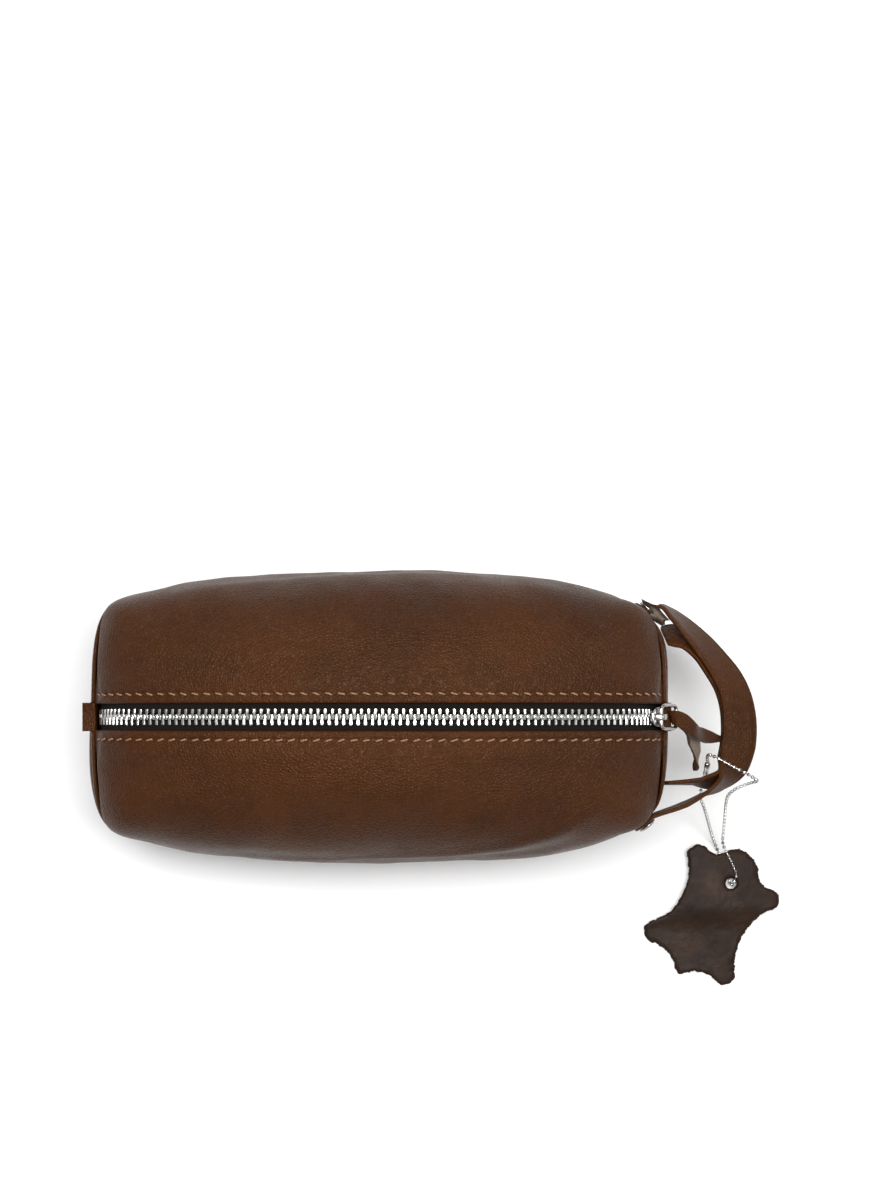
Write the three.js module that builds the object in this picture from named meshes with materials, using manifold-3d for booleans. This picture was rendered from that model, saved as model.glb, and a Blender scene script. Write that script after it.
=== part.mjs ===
// Leather shaving kit bag: box bag with a domed zip top, end handle, pull thong and hide tag on a ball chain.
// Millimetres, +Z up, +X towards the handle end, origin at the middle of the base.
import * as THREE from 'three';
import Module from 'manifold-3d';

const wasm = await Module();
wasm.setup();

const V = (x, y, z) => new THREE.Vector3(x, y, z);
const UP_Y = V(0, 1, 0);
const rad = (d) => (d * Math.PI) / 180;
const lerp = (a, b, t) => a + (b - a) * t;
const smooth = (t) => {
  const c = Math.min(1, Math.max(0, t));
  return c * c * (3 - 2 * c);
};
const range = (n, f) => Array.from({ length: n }, (_, i) => f(i));

// ---- main sizes ----
const HALF_L = 129.5; // half length at the widest level
const HALF_W = 66.3; // half width at the widest level
const TOP_Z = 117; // crown of the zip line
const LEATHER = 1.6;
const BASE_T = 2;
const BOARD_T = 1.5;
const CLOTH_T = 0.8;
const GAP = 0.3;

const ZIP_HALF = 6.5; // half the gap between the two leather lips
const PITCH = 3.1; // tooth pitch of one row
const TOOTH = 1.25; // width of one tooth along the zip
// depths under the leather surface
const TAPE_TOP = LEATHER + GAP;
const TAPE_FOOT = TAPE_TOP + 0.6;
const CHAIN_TOP = TAPE_TOP - 0.95;
const CHAIN_FOOT = TAPE_FOOT + 0.95;
const LINING_TOP = TAPE_FOOT + 2 * GAP;
const TAB_HALF = 6.3;
const TAB_GAP = 2.2;

const STRAP_W = 16;
const STRAP_T = 1.8;
const STRAP_Z = 0.513 * TOP_Z; // level of the two rivets
const LAID_Z = 60; // the strap level that the points of the lace and the chain are written for
const RIVET_A = 76.5; // degrees from +X round to each rivet
const SHANK_R = 1.75;
const HEAD_R = 4.1;
const BORE_R = 2.1;
const LACE_W = 6.5;
const LACE_T = 1.3;
const RING_R = 0.85;
const RING_LONG = 10;
const RING_HALF = 5;
const CHAIN_R = 0.85;
const TAG_T = 2;

// the ray fan that every panel is drawn on
const SPINE_X = 0.829 * HALF_L;
const SPINE_Z = 0.427 * TOP_Z;
const LEAN = rad(38); // how far it leans out at the bag ends
const LIP_END = 62.5; // degrees round the shoulder where a top panel ends
const WALL_START = 60; // degrees where the side wall begins, lapping over it
const TUCK = 2.3; // how far a top panel sinks under the wall
const WRAP = 89.3; // degrees an end panel wraps round each corner
const EDGE = 0.9972; // the walls' share of the spine
const LIP_EDGE = 0.9975;

// ---- the outer form: half length, half width and squareness by level ----
const LEVEL = [0, 0.068, 0.214, 0.43, 0.53, 0.615, 0.684, 0.752, 0.812, 0.855, 0.897, 0.94, 0.974, 0.991, 1];
const LEN = [0.932, 0.966, 0.99, 1, 0.998, 0.987, 0.957, 0.908, 0.838, 0.755, 0.637, 0.491, 0.321, 0.186, 0.02];
const WID = [0.86, 0.93, 0.98, 1, 0.993, 0.972, 0.942, 0.897, 0.825, 0.75, 0.655, 0.53, 0.385, 0.245, 0.03];
const along = (tab, t) => {
  let i = 0;
  while (i < LEVEL.length - 2 && t > LEVEL[i + 1]) i++;
  const h = LEVEL[i + 1] - LEVEL[i];
  const slope = (k) => {
    const a = Math.max(0, k - 1);
    const b = Math.min(LEVEL.length - 1, k + 1);
    return ((tab[b] - tab[a]) / (LEVEL[b] - LEVEL[a])) * h;
  };
  const s = (t - LEVEL[i]) / h;
  const s2 = s * s;
  const s3 = s2 * s;
  const ends = (2 * s3 - 3 * s2 + 1) * tab[i] + (3 * s2 - 2 * s3) * tab[i + 1];
  return ends + (s3 - 2 * s2 + s) * slope(i) + (s3 - s2) * slope(i + 1);
};
const form = (p) => {
  const t = Math.min(1, Math.max(0, p.z / TOP_Z));
  const n = lerp(6, 2.6, smooth((t - 0.62) / 0.36));
  const a = HALF_L * Math.max(0.01, along(LEN, t)) * (1 - 0.022 * (p.y / 50) ** 2);
  const b = HALF_W * Math.max(0.01, along(WID, t)) * (1 - 0.13 * (p.x / (0.837 * HALF_L)) ** 2);
  const over = Math.max(0, p.z - TOP_Z);
  return (Math.abs(p.x) / a) ** n + (Math.abs(p.y) / b) ** n - 1 + over;
};
const hit = (o, d) => {
  let lo = 0;
  let hi = 2 * HALF_L;
  for (let i = 0; i < 46; i++) {
    const m = (lo + hi) / 2;
    if (form(o.clone().addScaledVector(d, m)) > 0) hi = m;
    else lo = m;
  }
  return o.clone().addScaledVector(d, (lo + hi) / 2);
};
const ray = (r) => V(Math.sin(r), 0, Math.cos(r));
// the ray fan: u runs along the bag, deg runs from the zip (0) over the shoulder (90) to the base
const spine = (u) => V(u * SPINE_X, 0, SPINE_Z);
const lean = (u) => Math.sign(u) * Math.abs(u) ** 3 * LEAN;
const fan = (u, deg) => {
  const a = rad(deg);
  const d = deg > 90 ? V(0, 0, 1) : ray(lean(u));
  return d.multiplyScalar(Math.cos(a)).add(V(0, Math.sin(a), 0));
};
const onForm = (u, deg, side) => {
  const d = fan(u, deg);
  d.y *= side;
  return hit(spine(u), d);
};
const zipPoint = (u, y) => hit(spine(u).add(V(0, y, 0)), ray(lean(u)));
// outward normal from a symmetric difference over a small step, so creases of the level table are smoothed
const normalAt = (p) => {
  const e = 1.2;
  const f = (x, y, z) => form(V(p.x + x, p.y + y, Math.min(p.z + z, TOP_Z - 0.01)));
  const onCrown = p.z > TOP_Z - 2.2 && Math.abs(p.x) < 40 && Math.abs(p.y) < 12;
  if (onCrown) return V(p.x / (2.17 * HALF_L), p.y / 160, 1).normalize();
  return V(f(e, 0, 0) - f(-e, 0, 0), f(0, e, 0) - f(0, -e, 0), f(0, 0, e) - f(0, 0, -e)).normalize();
};

// ---- solids from grids ----
const finish = (pos, idx) => {
  let vol = 0;
  for (let i = 0; i < idx.length; i += 3) {
    const [a, b, c] = [pos[idx[i]], pos[idx[i + 1]], pos[idx[i + 2]]];
    vol += a.dot(b.clone().cross(c));
  }
  if (vol < 0) idx = idx.map((_, i) => idx[i - (i % 3) + 2 - (i % 3)]);
  const g = new THREE.BufferGeometry();
  g.setAttribute('position', new THREE.Float32BufferAttribute(pos.flatMap((p) => [p.x, p.y, p.z]), 3));
  g.setIndex(idx);
  return g;
};
// rows x cols of outer and inner points, cells filled where mask says so
const shell = (rows, cols, outer, inner, mask = () => true) => {
  const pos = [];
  const idx = [];
  const key = new Map();
  const at = (side, i, j) => {
    const k = (side * rows + i) * cols + j;
    if (!key.has(k)) {
      key.set(k, pos.length);
      pos.push(side ? inner(i, j) : outer(i, j));
    }
    return key.get(k);
  };
  const quad = (a, b, c, d) => idx.push(a, b, c, a, c, d);
  const full = (i, j) => i >= 0 && j >= 0 && i < rows - 1 && j < cols - 1 && mask(i, j);
  for (let i = 0; i < rows - 1; i++)
    for (let j = 0; j < cols - 1; j++) {
      if (!full(i, j)) continue;
      quad(at(0, i, j), at(0, i + 1, j), at(0, i + 1, j + 1), at(0, i, j + 1));
      quad(at(1, i, j), at(1, i, j + 1), at(1, i + 1, j + 1), at(1, i + 1, j));
      if (!full(i - 1, j)) quad(at(0, i, j), at(0, i, j + 1), at(1, i, j + 1), at(1, i, j));
      if (!full(i + 1, j)) quad(at(0, i + 1, j + 1), at(0, i + 1, j), at(1, i + 1, j), at(1, i + 1, j + 1));
      if (!full(i, j - 1)) quad(at(0, i + 1, j), at(0, i, j), at(1, i, j), at(1, i + 1, j));
      if (!full(i, j + 1)) quad(at(0, i, j + 1), at(0, i + 1, j + 1), at(1, i + 1, j + 1), at(1, i, j + 1));
    }
  return finish(pos, idx);
};
const skin = (rows, cols, point, from, to) => {
  const cache = new Map();
  const get = (i, j) => {
    const k = i * cols + j;
    if (!cache.has(k)) {
      const p = point(i, j);
      cache.set(k, [p, normalAt(p)]);
    }
    return cache.get(k);
  };
  const sunk = (depth) => (i, j) => {
    const [p, n] = get(i, j);
    return p.clone().addScaledVector(n, -(typeof depth === 'function' ? depth(i, j) : depth));
  };
  return shell(rows, cols, sunk(from), sunk(to));
};
// rings of points joined along a path, capped unless closed
const sweep = (rings, closed = false) => {
  const m = rings[0].length;
  const n = rings.length;
  const pos = rings.flat();
  const idx = [];
  for (let i = 0; i < (closed ? n : n - 1); i++)
    for (let k = 0; k < m; k++) {
      const row = i * m;
      const next = ((i + 1) % n) * m;
      const turn = (k + 1) % m;
      idx.push(row + k, row + turn, next + turn, row + k, next + turn, next + k);
    }
  if (!closed)
    for (const [r, flip] of [[0, true], [n - 1, false]])
      for (let k = 1; k < m - 1; k++) {
        const far = r * m + k;
        idx.push(r * m, ...(flip ? [far + 1, far] : [far, far + 1]));
      }
  return finish(pos, idx);
};
const curveOf = (pts, closed = false) => new THREE.CatmullRomCurve3(pts, closed, 'centripetal');
// a flat band: frames carry a point p, a width direction w and a face direction n
const ribbon = (frames, width, thick, lift = 0) => sweep(frames.map(({ p, w, n }) => {
  const h = width / 2;
  const t = thick / 2;
  const c = Math.min(0.45, t * 0.6);
  const low = [[-h, -t + c], [-h + c, -t], [h - c, -t], [h, -t + c]];
  const high = low.map(([a, b]) => [-a, -b]);
  return [...low, ...high].map(([a, b]) => p.clone().addScaledVector(w, a).addScaledVector(n, b + lift));
}));
const circle = (o, u, v, r, sides) => range(sides, (k) => {
  const q = (k / sides) * 2 * Math.PI;
  return o.clone().addScaledVector(u, r * Math.cos(q)).addScaledVector(v, r * Math.sin(q));
});
const tube = (pts, r, sides, closed = false) => {
  const n = pts.length;
  let ref = V(0, 0, 1);
  const rings = pts.map((p, i) => {
    const a = closed ? pts[(i - 1 + n) % n] : pts[Math.max(0, i - 1)];
    const b = closed ? pts[(i + 1) % n] : pts[Math.min(n - 1, i + 1)];
    const t = b.clone().sub(a).normalize();
    if (i === 0 && Math.abs(t.z) > 0.8) ref = V(1, 0, 0);
    ref = ref.clone().addScaledVector(t, -ref.dot(t)).normalize();
    return circle(p, ref, t.clone().cross(ref), r, sides);
  });
  return sweep(rings, closed);
};
const toManifold = (g) => new wasm.Manifold(new wasm.Mesh({
  numProp: 3,
  vertProperties: new Float32Array(g.attributes.position.array),
  triVerts: new Uint32Array(g.index.array),
}));
const fromManifold = (m) => {
  const mesh = m.getMesh();
  const g = new THREE.BufferGeometry();
  g.setAttribute('position', new THREE.BufferAttribute(new Float32Array(mesh.vertProperties), 3));
  g.setIndex(new THREE.BufferAttribute(new Uint32Array(mesh.triVerts), 1));
  return g;
};
const lathe = (o, axis, profile, sides = 24) => {
  const a = axis.clone().normalize();
  const ref = Math.abs(a.z) > 0.8 ? V(1, 0, 0) : V(0, 0, 1);
  const u = ref.clone().addScaledVector(a, -ref.dot(a)).normalize();
  const v = a.clone().cross(u);
  return sweep(profile.map(([h, r]) => circle(o.clone().addScaledVector(a, h), u, v, r, sides)));
};
// an oblong block in a local frame: x, y, z ranges along the three directions
const block = (o, ex, ey, ez, [x0, x1], [y0, y1], [z0, z1]) => sweep([z0, z1].map((z) =>
  [[x0, y0], [x1, y0], [x1, y1], [x0, y1]].map(([x, y]) =>
    o.clone().addScaledVector(ex, x).addScaledVector(ey, y).addScaledVector(ez, z))));
const joined = (...parts) => fromManifold(wasm.Manifold.union(parts.map(toManifold)));
const cut = (part, tool) => fromManifold(toManifold(part).subtract(toManifold(tool)));

// ---- scene ----
const root = new THREE.Group();
root.name = 'shaving_kit_bag';
const paint = (color, metalness = 0, roughness = 0.6) =>
  new THREE.MeshStandardMaterial({ color, metalness, roughness });
const LOOK = {
  leather: paint(0x4a2816),
  strap: paint(0x42230f),
  lining: paint(0x2a241e),
  tape: paint(0x121110),
  metal: paint(0xb9b9b6, 1, 0.3),
  tag: paint(0x3a2418),
  board: paint(0x8a6f4e),
};
const add = (name, geometry, look) => {
  const mesh = new THREE.Mesh(geometry, LOOK[look]);
  mesh.name = name;
  root.add(mesh);
};
const SIDES = [['front', -1], ['back', 1]];

// ---- walls, on stations along the bag that stand closer together towards the ends ----
const ease = (t) => t * (1.45 - 0.45 * t * t);
const stations = (n) => range(n, (j) => ease(lerp(-1, 1, j / (n - 1))));
const WALL_ROWS = 14;
const WALL_U = stations(29);
const WALL_FOOT = BASE_T + GAP;
const footAngle = (u) => {
  let lo = 91;
  let hi = 150;
  for (let i = 0; i < 30; i++) {
    const m = (lo + hi) / 2;
    if (onForm(u, m, 1).z > WALL_FOOT) lo = m;
    else hi = m;
  }
  return lo;
};
const foot = WALL_U.map(footAngle);
const cornerAt = (side, a, z) => hit(V(SPINE_X, 0, z), V(Math.cos(rad(a)), side * Math.sin(rad(a)), 0));
const rivets = SIDES.map(([name, side]) => {
  const o = cornerAt(side, RIVET_A, STRAP_Z);
  const n = normalAt(o);
  return { name, side, o, n, bore: lathe(o, n, [[-14, BORE_R], [9, BORE_R]], 20) };
});
const allBores = joined(...rivets.map((r) => r.bore));
for (const [name, side] of SIDES) {
  const wall = skin(WALL_ROWS, WALL_U.length, (i, j) => {
    const p = onForm(WALL_U[j] * EDGE, lerp(WALL_START, foot[j], i / (WALL_ROWS - 1)), side);
    if (i === WALL_ROWS - 1) p.z = WALL_FOOT;
    return p;
  }, 0, LEATHER);
  add(name + '_side_panel', cut(wall, allBores), 'leather');
}

// end panels, wrapping the corners, with a dip under the zip end
const END_ROWS = 12;
const END_COLS = 29;
const endPoint = (end, a, t) => {
  const s = spine(end);
  const az = rad(a);
  const phi = Math.atan2(Math.sin(az) * Math.sin(LEAN), Math.cos(az));
  const top = ray(end * LEAN).multiplyScalar(Math.cos(phi)).add(V(0, Math.sin(phi), 0));
  const dip = 0.5 * (1 - smooth((Math.abs(a) - 24) / 9));
  top.z -= dip + 0.01;
  const level = V(end * Math.cos(az), Math.sin(az), 0);
  let lo = 0;
  let hi = 150;
  for (let i = 0; i < 40; i++) {
    const m = (lo + hi) / 2;
    const p = s.clone().addScaledVector(level, m).setZ(WALL_FOOT);
    if (form(p) > 0) hi = m;
    else lo = m;
  }
  const low = level.clone().multiplyScalar(lo).add(V(0, 0, WALL_FOOT - s.z)).normalize();
  return hit(s, low.lerp(top.normalize(), t).normalize());
};
for (const [name, end] of [['left', -1], ['right', 1]]) {
  const wall = skin(END_ROWS, END_COLS, (i, j) => {
    const p = endPoint(end, lerp(-WRAP, WRAP, j / (END_COLS - 1)), i / (END_ROWS - 1));
    if (i === 0) p.z = WALL_FOOT;
    return p;
  }, 0, LEATHER);
  add(name + '_end_panel', end > 0 ? cut(wall, allBores) : wall, 'leather');
}

// base: leather sheet, stiffener board and the loose lining tub
const outline = (z, inset, level = z) => range(58, (k) => {
  const a = (k / 58) * 2 * Math.PI;
  const p = hit(V(0, 0, z), V(Math.cos(a) * 1.9, Math.sin(a), 0).normalize());
  return p.addScaledVector(normalAt(p).setZ(0).normalize(), -inset).setZ(level);
});
const slab = (z0, z1, inset) => sweep([outline(z1, inset, z0), outline(z1, inset)]);
add('base_panel', slab(0, BASE_T, 0.4), 'leather');
add('base_board', slab(WALL_FOOT, WALL_FOOT + BOARD_T, LEATHER + 0.9), 'board');
const TUB_Z = WALL_FOOT + BOARD_T + GAP;
const TUB_RIM = Math.min(0.45 * TOP_Z, STRAP_Z - 6.5); // clear of the washers
const TUB_INSET = LEATHER + 1.1;
const tubLevels = range(8, (i) => lerp(TUB_Z, TUB_RIM, (i / 7) ** 1.2));
add('lining_tub', sweep([
  ...tubLevels.map((z) => outline(z, TUB_INSET)),
  ...tubLevels.map((z) => outline(Math.max(z, TUB_Z + CLOTH_T), TUB_INSET + CLOTH_T)).reverse(),
]), 'lining');

// lips: a top panel, its lining, tape and teeth on each side of the zip
const LIP_U = stations(37).map((u) => u * LIP_EDGE);
const lipAngle = (u, t) => {
  const c = zipPoint(u, ZIP_HALF).sub(spine(u));
  const first = Math.atan2(c.y, c.dot(ray(lean(u)))) / rad(1);
  return lerp(first, LIP_END, t);
};
const endSink = (u) => smooth((Math.abs(u) - 0.84) / 0.12);
// one layer of a lip, from row share t0 to 1, between two depths under the sunk surface
const lipLayer = (rows, t0, side, from, to) => {
  const angle = (i, j) => lipAngle(LIP_U[j], lerp(t0, 1, i / (rows - 1)));
  const sink = (i, j) => TUCK * Math.max(smooth((angle(i, j) - 42) / 14), endSink(LIP_U[j]));
  return skin(rows, LIP_U.length, (i, j) => onForm(LIP_U[j], angle(i, j), side),
    (i, j) => sink(i, j) + from, (i, j) => sink(i, j) + to);
};
for (const [name, side] of SIDES) {
  add(name + '_top_panel', lipLayer(11, 0, side, 0, LEATHER), 'leather');
  add('lip_lining_' + name, lipLayer(5, 0.18, side, LINING_TOP, LINING_TOP + CLOTH_T), 'lining');
}

// zip line by arc length
const LINE_U = stations(241);
const zipLine = LINE_U.map((u) => zipPoint(u, 0));
const runs = [0];
for (let k = 1; k < zipLine.length; k++) runs.push(runs[k - 1] + zipLine[k].distanceTo(zipLine[k - 1]));
const HALF_RUN = runs[240] / 2;
const uAt = (s) => {
  const v = s + HALF_RUN;
  let k = 0;
  while (k < 239 && v > runs[k + 1]) k++;
  return lerp(LINE_U[k], LINE_U[k + 1], (v - runs[k]) / (runs[k + 1] - runs[k]));
};
const onRun = (s) => Math.max(-HALF_RUN, Math.min(HALF_RUN, s));
const zipNormal = (s) => normalAt(zipPoint(uAt(onRun(s)), 0));
// run s along the zip, y across it and depth under the leather surface; it sinks with the lips at both ends
const zipMap = (s, y, depth) => {
  const u = uAt(onRun(s));
  const n = zipNormal(s);
  const p = zipPoint(u, y).add(V(n.z, 0, -n.x).multiplyScalar(s - onRun(s)));
  return p.addScaledVector(n, -depth - TUCK * endSink(u));
};
const zipShell = (cuts, ys, top, low, mask) => {
  const face = (depth) => (j, i) => zipMap(cuts[i], ys[j], depth);
  return shell(ys.length, cuts.length, face(top), face(low), mask);
};
const TAPE_CUTS = stations(31).map((u) => u * (HALF_RUN - 0.6));
for (const [name, side] of SIDES) {
  const ys = [3.85, ZIP_HALF, ZIP_HALF + 3, ZIP_HALF + 5.5].map((y) => side * y);
  add('zip_tape_' + name, zipShell(TAPE_CUTS, ys, TAPE_TOP, TAPE_FOOT), 'tape');
}

// teeth: a comb per side, its rail clamped to the tape edge, the two rows staggered by half a pitch
const TEETH = Math.floor((2 * (HALF_RUN - 2.4)) / PITCH / 2) * 2;
const LAST = (TEETH / 2) * PITCH; // end of the toothed length
for (const [name, side, shift] of [['front', -1, 0], ['back', 1, 0.5]]) {
  const middles = range(TEETH, (k) => -LAST + (k + shift) * PITCH);
  const cuts = middles.flatMap((s) => [s - TOOTH / 2, s + TOOTH / 2]);
  const ys = [3.5, 1.65, -1.2].map((y) => side * y);
  const comb = zipShell(cuts, ys, CHAIN_TOP, CHAIN_FOOT, (j, i) => j === 0 || i % 2 === 0);
  add('zip_teeth_' + name, comb, 'metal');
}

// stops and end tabs of the zip
const chainBlock = (s0, s1, ys, top, low, n = 3) =>
  zipShell(range(n, (i) => lerp(s0, s1, i / (n - 1))), ys, top, low);
add('zip_bottom_stop', chainBlock(-LAST - 3.1, -LAST - 1.1, [-3.2, 3.2], CHAIN_TOP, CHAIN_FOOT), 'metal');
for (const [name, side] of SIDES) {
  const stop = chainBlock(LAST + 0.1, LAST + 1.9, [side * 1.7, side * 3.4], CHAIN_TOP, CHAIN_FOOT);
  add('zip_top_stop_' + name, stop, 'metal');
}
for (const [name, end, long] of [['left', -1, 6], ['right', 1, 4]]) {
  const o = zipMap(end * (HALF_RUN + 0.7), 0, TAPE_TOP + 0.3);
  const out = V(end * Math.cos(rad(12)), 0, -Math.sin(rad(12)));
  const up = V(-end * out.z, 0, Math.abs(out.x));
  const tab = block(o, out, UP_Y, up, [TAB_GAP, TAB_GAP + long], [-TAB_HALF, TAB_HALF], [-1.5, 1.5]);
  add('zip_end_tab_' + name, tab, 'leather');
}

// slider: two curved plates round the chain, a post past the last teeth, and a bridge for the puller
const SLIDER_S = HALF_RUN - 7;
const PIN_RISE = 2.6;
const sliderAt = zipMap(SLIDER_S, 0, 0);
const sliderN = zipNormal(SLIDER_S);
const sliderT = V(sliderN.z, 0, -sliderN.x);
const pin = sliderAt.clone().addScaledVector(sliderN, PIN_RISE);
const plate = (top, low, half) => chainBlock(SLIDER_S - 5.5, SLIDER_S + 6.3, [-half, half], top, low, 9);
const arch = block(sliderAt, sliderT, UP_Y, sliderN, [-3.6, 3.6], [-1.3, 1.3], [0.4, 5.2]);
const eye = lathe(pin.clone().add(V(0, -3, 0)), UP_Y, [[0, RING_R + 0.6], [6, RING_R + 0.6]], 20);
const post = chainBlock(SLIDER_S + 4.6, SLIDER_S + 6.2, [-1.1, 1.1], -0.2, CHAIN_FOOT + 0.95);
const plates = [plate(-1, CHAIN_TOP - 0.4, 5), plate(CHAIN_FOOT + 0.4, CHAIN_FOOT + 1.55, 4.6)];
add('slider_body', joined(...plates, post, cut(arch, eye)), 'metal');
const hang = sliderT.clone().applyAxisAngle(UP_Y, rad(-14));
const ringAt = (a, y) => pin.clone().addScaledVector(hang, a).add(V(0, y, 0));
const nearEnd = [[1.2, RING_HALF - 0.1], [0, RING_HALF - 1.1], [0, 0]];
const backEnd = nearEnd.slice(0, 2).reverse().map(([a, y]) => [a, -y]);
const oval = [...nearEnd, ...backEnd, [RING_LONG / 2, -RING_HALF]];
const ringLoop = [...oval, ...oval.map(([a, y]) => [RING_LONG - a, -y])].map(([a, y]) => ringAt(a, y));
add('puller_ring', tube(curveOf(ringLoop, true).getSpacedPoints(36).slice(0, 36), RING_R, 8, true), 'metal');

// leather lace folded round the far bar of the ring; points from the bag's end
const bar = ringAt(RING_LONG, 0);
const hung = ([x, y, z]) => V(HALF_L + x, y, z + (STRAP_Z - LAID_Z) * smooth((z - 9) / 34));
const longTail = [
  ...[[14.8, -24.5, 43.5], [15.5, -19.5, 46.5], [14.2, -14, 51.5], [11, -9, 58]].map(hung),
  V(HALF_L + 6.6, -3.6, bar.z - 5.4),
];
const fold = [[0.4, -0.4, -2.2], [-2, -0.3, -0.1], [0.2, -0.4, 2.1]].map((q) => V(...q).add(bar));
const shortTail = [
  V(HALF_L + 5.6, -2.4, bar.z + 0.5), V(HALF_L + 10.5, -6, bar.z - 4.6),
  ...[[16.5, -8.2, 55.5], [23, -9.6, 51], [28, -10.4, 48.5]].map(hung),
];
const laceCurve = curveOf([...longTail, ...fold, ...shortTail]);
const LACE_RINGS = 38;
const laceFrames = range(LACE_RINGS, (i) => {
  const t = i / (LACE_RINGS - 1);
  const along = laceCurve.getTangentAt(t);
  const w = UP_Y.clone().addScaledVector(along, -along.y).normalize();
  return { p: laceCurve.getPointAt(t), w, n: w.clone().cross(along) };
});
add('pull_thong', ribbon(laceFrames, LACE_W, LACE_T), 'strap');

// handle: two straps sewn face to face, parting at the corners of the bag
// x from the bag's end, y, z from the rivets' level, and degrees the flat face turns up
const strapLine = [
  [-4.3, 48.6, 1, 8], [1.1, 45.2, 1, 20], [8.4, 38.6, 0.6, 33], [15.6, 31.2, 0, 43], [21.9, 23.6, -0.6, 50],
  [27.3, 15.8, -1.2, 58], [30.7, 7.4, -1.8, 66], [32.3, -2.7, -2.4, 76], [31.9, -12.7, -2.6, 82],
  [29.2, -21.7, -2.4, 66], [23.7, -28.9, -1.6, 24], [15.6, -33.6, -0.6, 5], [6.5, -38.4, 0.4, 0],
  [-2.7, -43.6, 1, 0],
];
const strapCurve = curveOf(strapLine.map(([x, y, z]) => V(HALF_L + x, y, STRAP_Z + z)));
const strapFrame = (t) => {
  const g = strapCurve.getTangent(t);
  const k = t * (strapLine.length - 1);
  const i = Math.min(strapLine.length - 2, Math.floor(k));
  const turn = rad(lerp(strapLine[i][3], strapLine[i + 1][3], (smooth(k - i) + k - i) / 2));
  const side = V(-g.y, g.x, 0).normalize();
  const up = V(0, 0, 1).addScaledVector(g, -g.z).normalize();
  const n = side.clone().multiplyScalar(Math.cos(turn)).addScaledVector(up, Math.sin(turn));
  n.addScaledVector(g, -n.dot(g)).normalize();
  return { p: strapCurve.getPoint(t), w: g.clone().cross(n).normalize(), n, side };
};
const STRAP_RINGS = 40;
const strapFrames = (t0, t1) => range(STRAP_RINGS, (i) => {
  const t = lerp(t0, t1, i / (STRAP_RINGS - 1));
  return { t, ...strapFrame(t) };
});
const LIFT = (STRAP_T + GAP) / 2 + 0.15;
add('handle_outer_strap', ribbon(strapFrames(0.022, 0.985), STRAP_W, STRAP_T, LIFT), 'strap');
const parting = (t) => 8.5 * (1 - smooth(t / 0.24)) + 11.5 * smooth((t - 0.74) / 0.26);
const innerFrames = strapFrames(0.165, 0.845);
for (const { t, p, side } of innerFrames) p.addScaledVector(side, -parting(t));
add('handle_inner_strap', ribbon(innerFrames, STRAP_W, STRAP_T, -LIFT), 'strap');

// riveted strap ends on the corners, the rivets and their washers
const END_SPREAD = 5.2; // degrees to each side of the rivet
const WASHER = [-LEATHER - 1.5, -LEATHER - 0.7];
const HEAD = STRAP_T + 0.8;
for (const { name, side, o, n, bore } of rivets) {
  const onCorner = (i, j) => cornerAt(side, RIVET_A + lerp(-END_SPREAD, END_SPREAD, j / 6),
    STRAP_Z + lerp(-STRAP_W / 2, STRAP_W / 2, i / 6));
  add('strap_end_' + name, cut(skin(7, 7, onCorner, -GAP, -GAP - STRAP_T), bore), 'strap');
  add('strap_rivet_' + name, lathe(o, n, [
    [WASHER[0] - 0.5, SHANK_R], [HEAD, SHANK_R], [HEAD, HEAD_R], [HEAD + 0.6, HEAD_R],
    [HEAD + 1.3, HEAD_R - 0.8], [HEAD + 1.7, HEAD_R - 2.2],
  ], 20), 'metal');
  add('rivet_washer_' + name, cut(lathe(o, n, WASHER.map((h) => [h, HEAD_R - 0.2]), 20), bore), 'metal');
}

// hide tag lying on the table, raised where the chain runs under it
const TAG_AT = V(HALF_L + 38.8, -79.6, 0);
const TAG_HOLE_R = 2.6;
const hide = [
  [-20.6, 15.5], [-15.8, 18.7], [-12, 17.5], [-8.6, 14.6], [-5.5, 14.1], [-1.5, 15.5], [2.3, 16.5], [6.2, 15.5],
  [10.5, 11.7], [12.9, 7.4], [13.3, 2.6], [15.7, -1.2], [21.5, -4.1], [23.1, -7.4], [21.9, -11.2], [15.7, -14.1],
  [10.5, -19.3], [6.2, -25.1], [3.8, -30.3], [2.3, -37], [2.3, -42.3], [1.9, -46.4], [-3.1, -49], [-5.5, -48],
  [-10.1, -44], [-16.8, -42.3], [-21.6, -43.2], [-24.4, -43.7], [-25.9, -41.8], [-27.3, -37], [-30.2, -32.7],
  [-34.9, -29.4], [-39.2, -27.5], [-41.2, -22.7], [-40.7, -20.3], [-37.3, -17.9], [-29.2, -13.8], [-25.4, -9.1],
  [-21.6, -1.2], [-20.1, 5], [-20.6, 11.7],
];
const tagLift = (y) => 2.9 * smooth((y + 24) / 14);
const rim = curveOf(hide.map(([x, y]) => V(x, y, 0)), true).getPoints(2 * hide.length).slice(0, -1);
const tagSolid = wasm.Manifold.extrude([rim.map((q) => [q.x, q.y]).reverse()], TAG_T)
  .subtract(wasm.Manifold.cylinder(3 * TAG_T, TAG_HOLE_R, TAG_HOLE_R, 16).translate([0, 0, -TAG_T]))
  .refineToLength(12)
  .warp((q) => {
    q[2] += tagLift(q[1]);
    q[0] += TAG_AT.x;
    q[1] += TAG_AT.y;
  });
add('hide_tag', fromManifold(tagSolid), 'tag');

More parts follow.
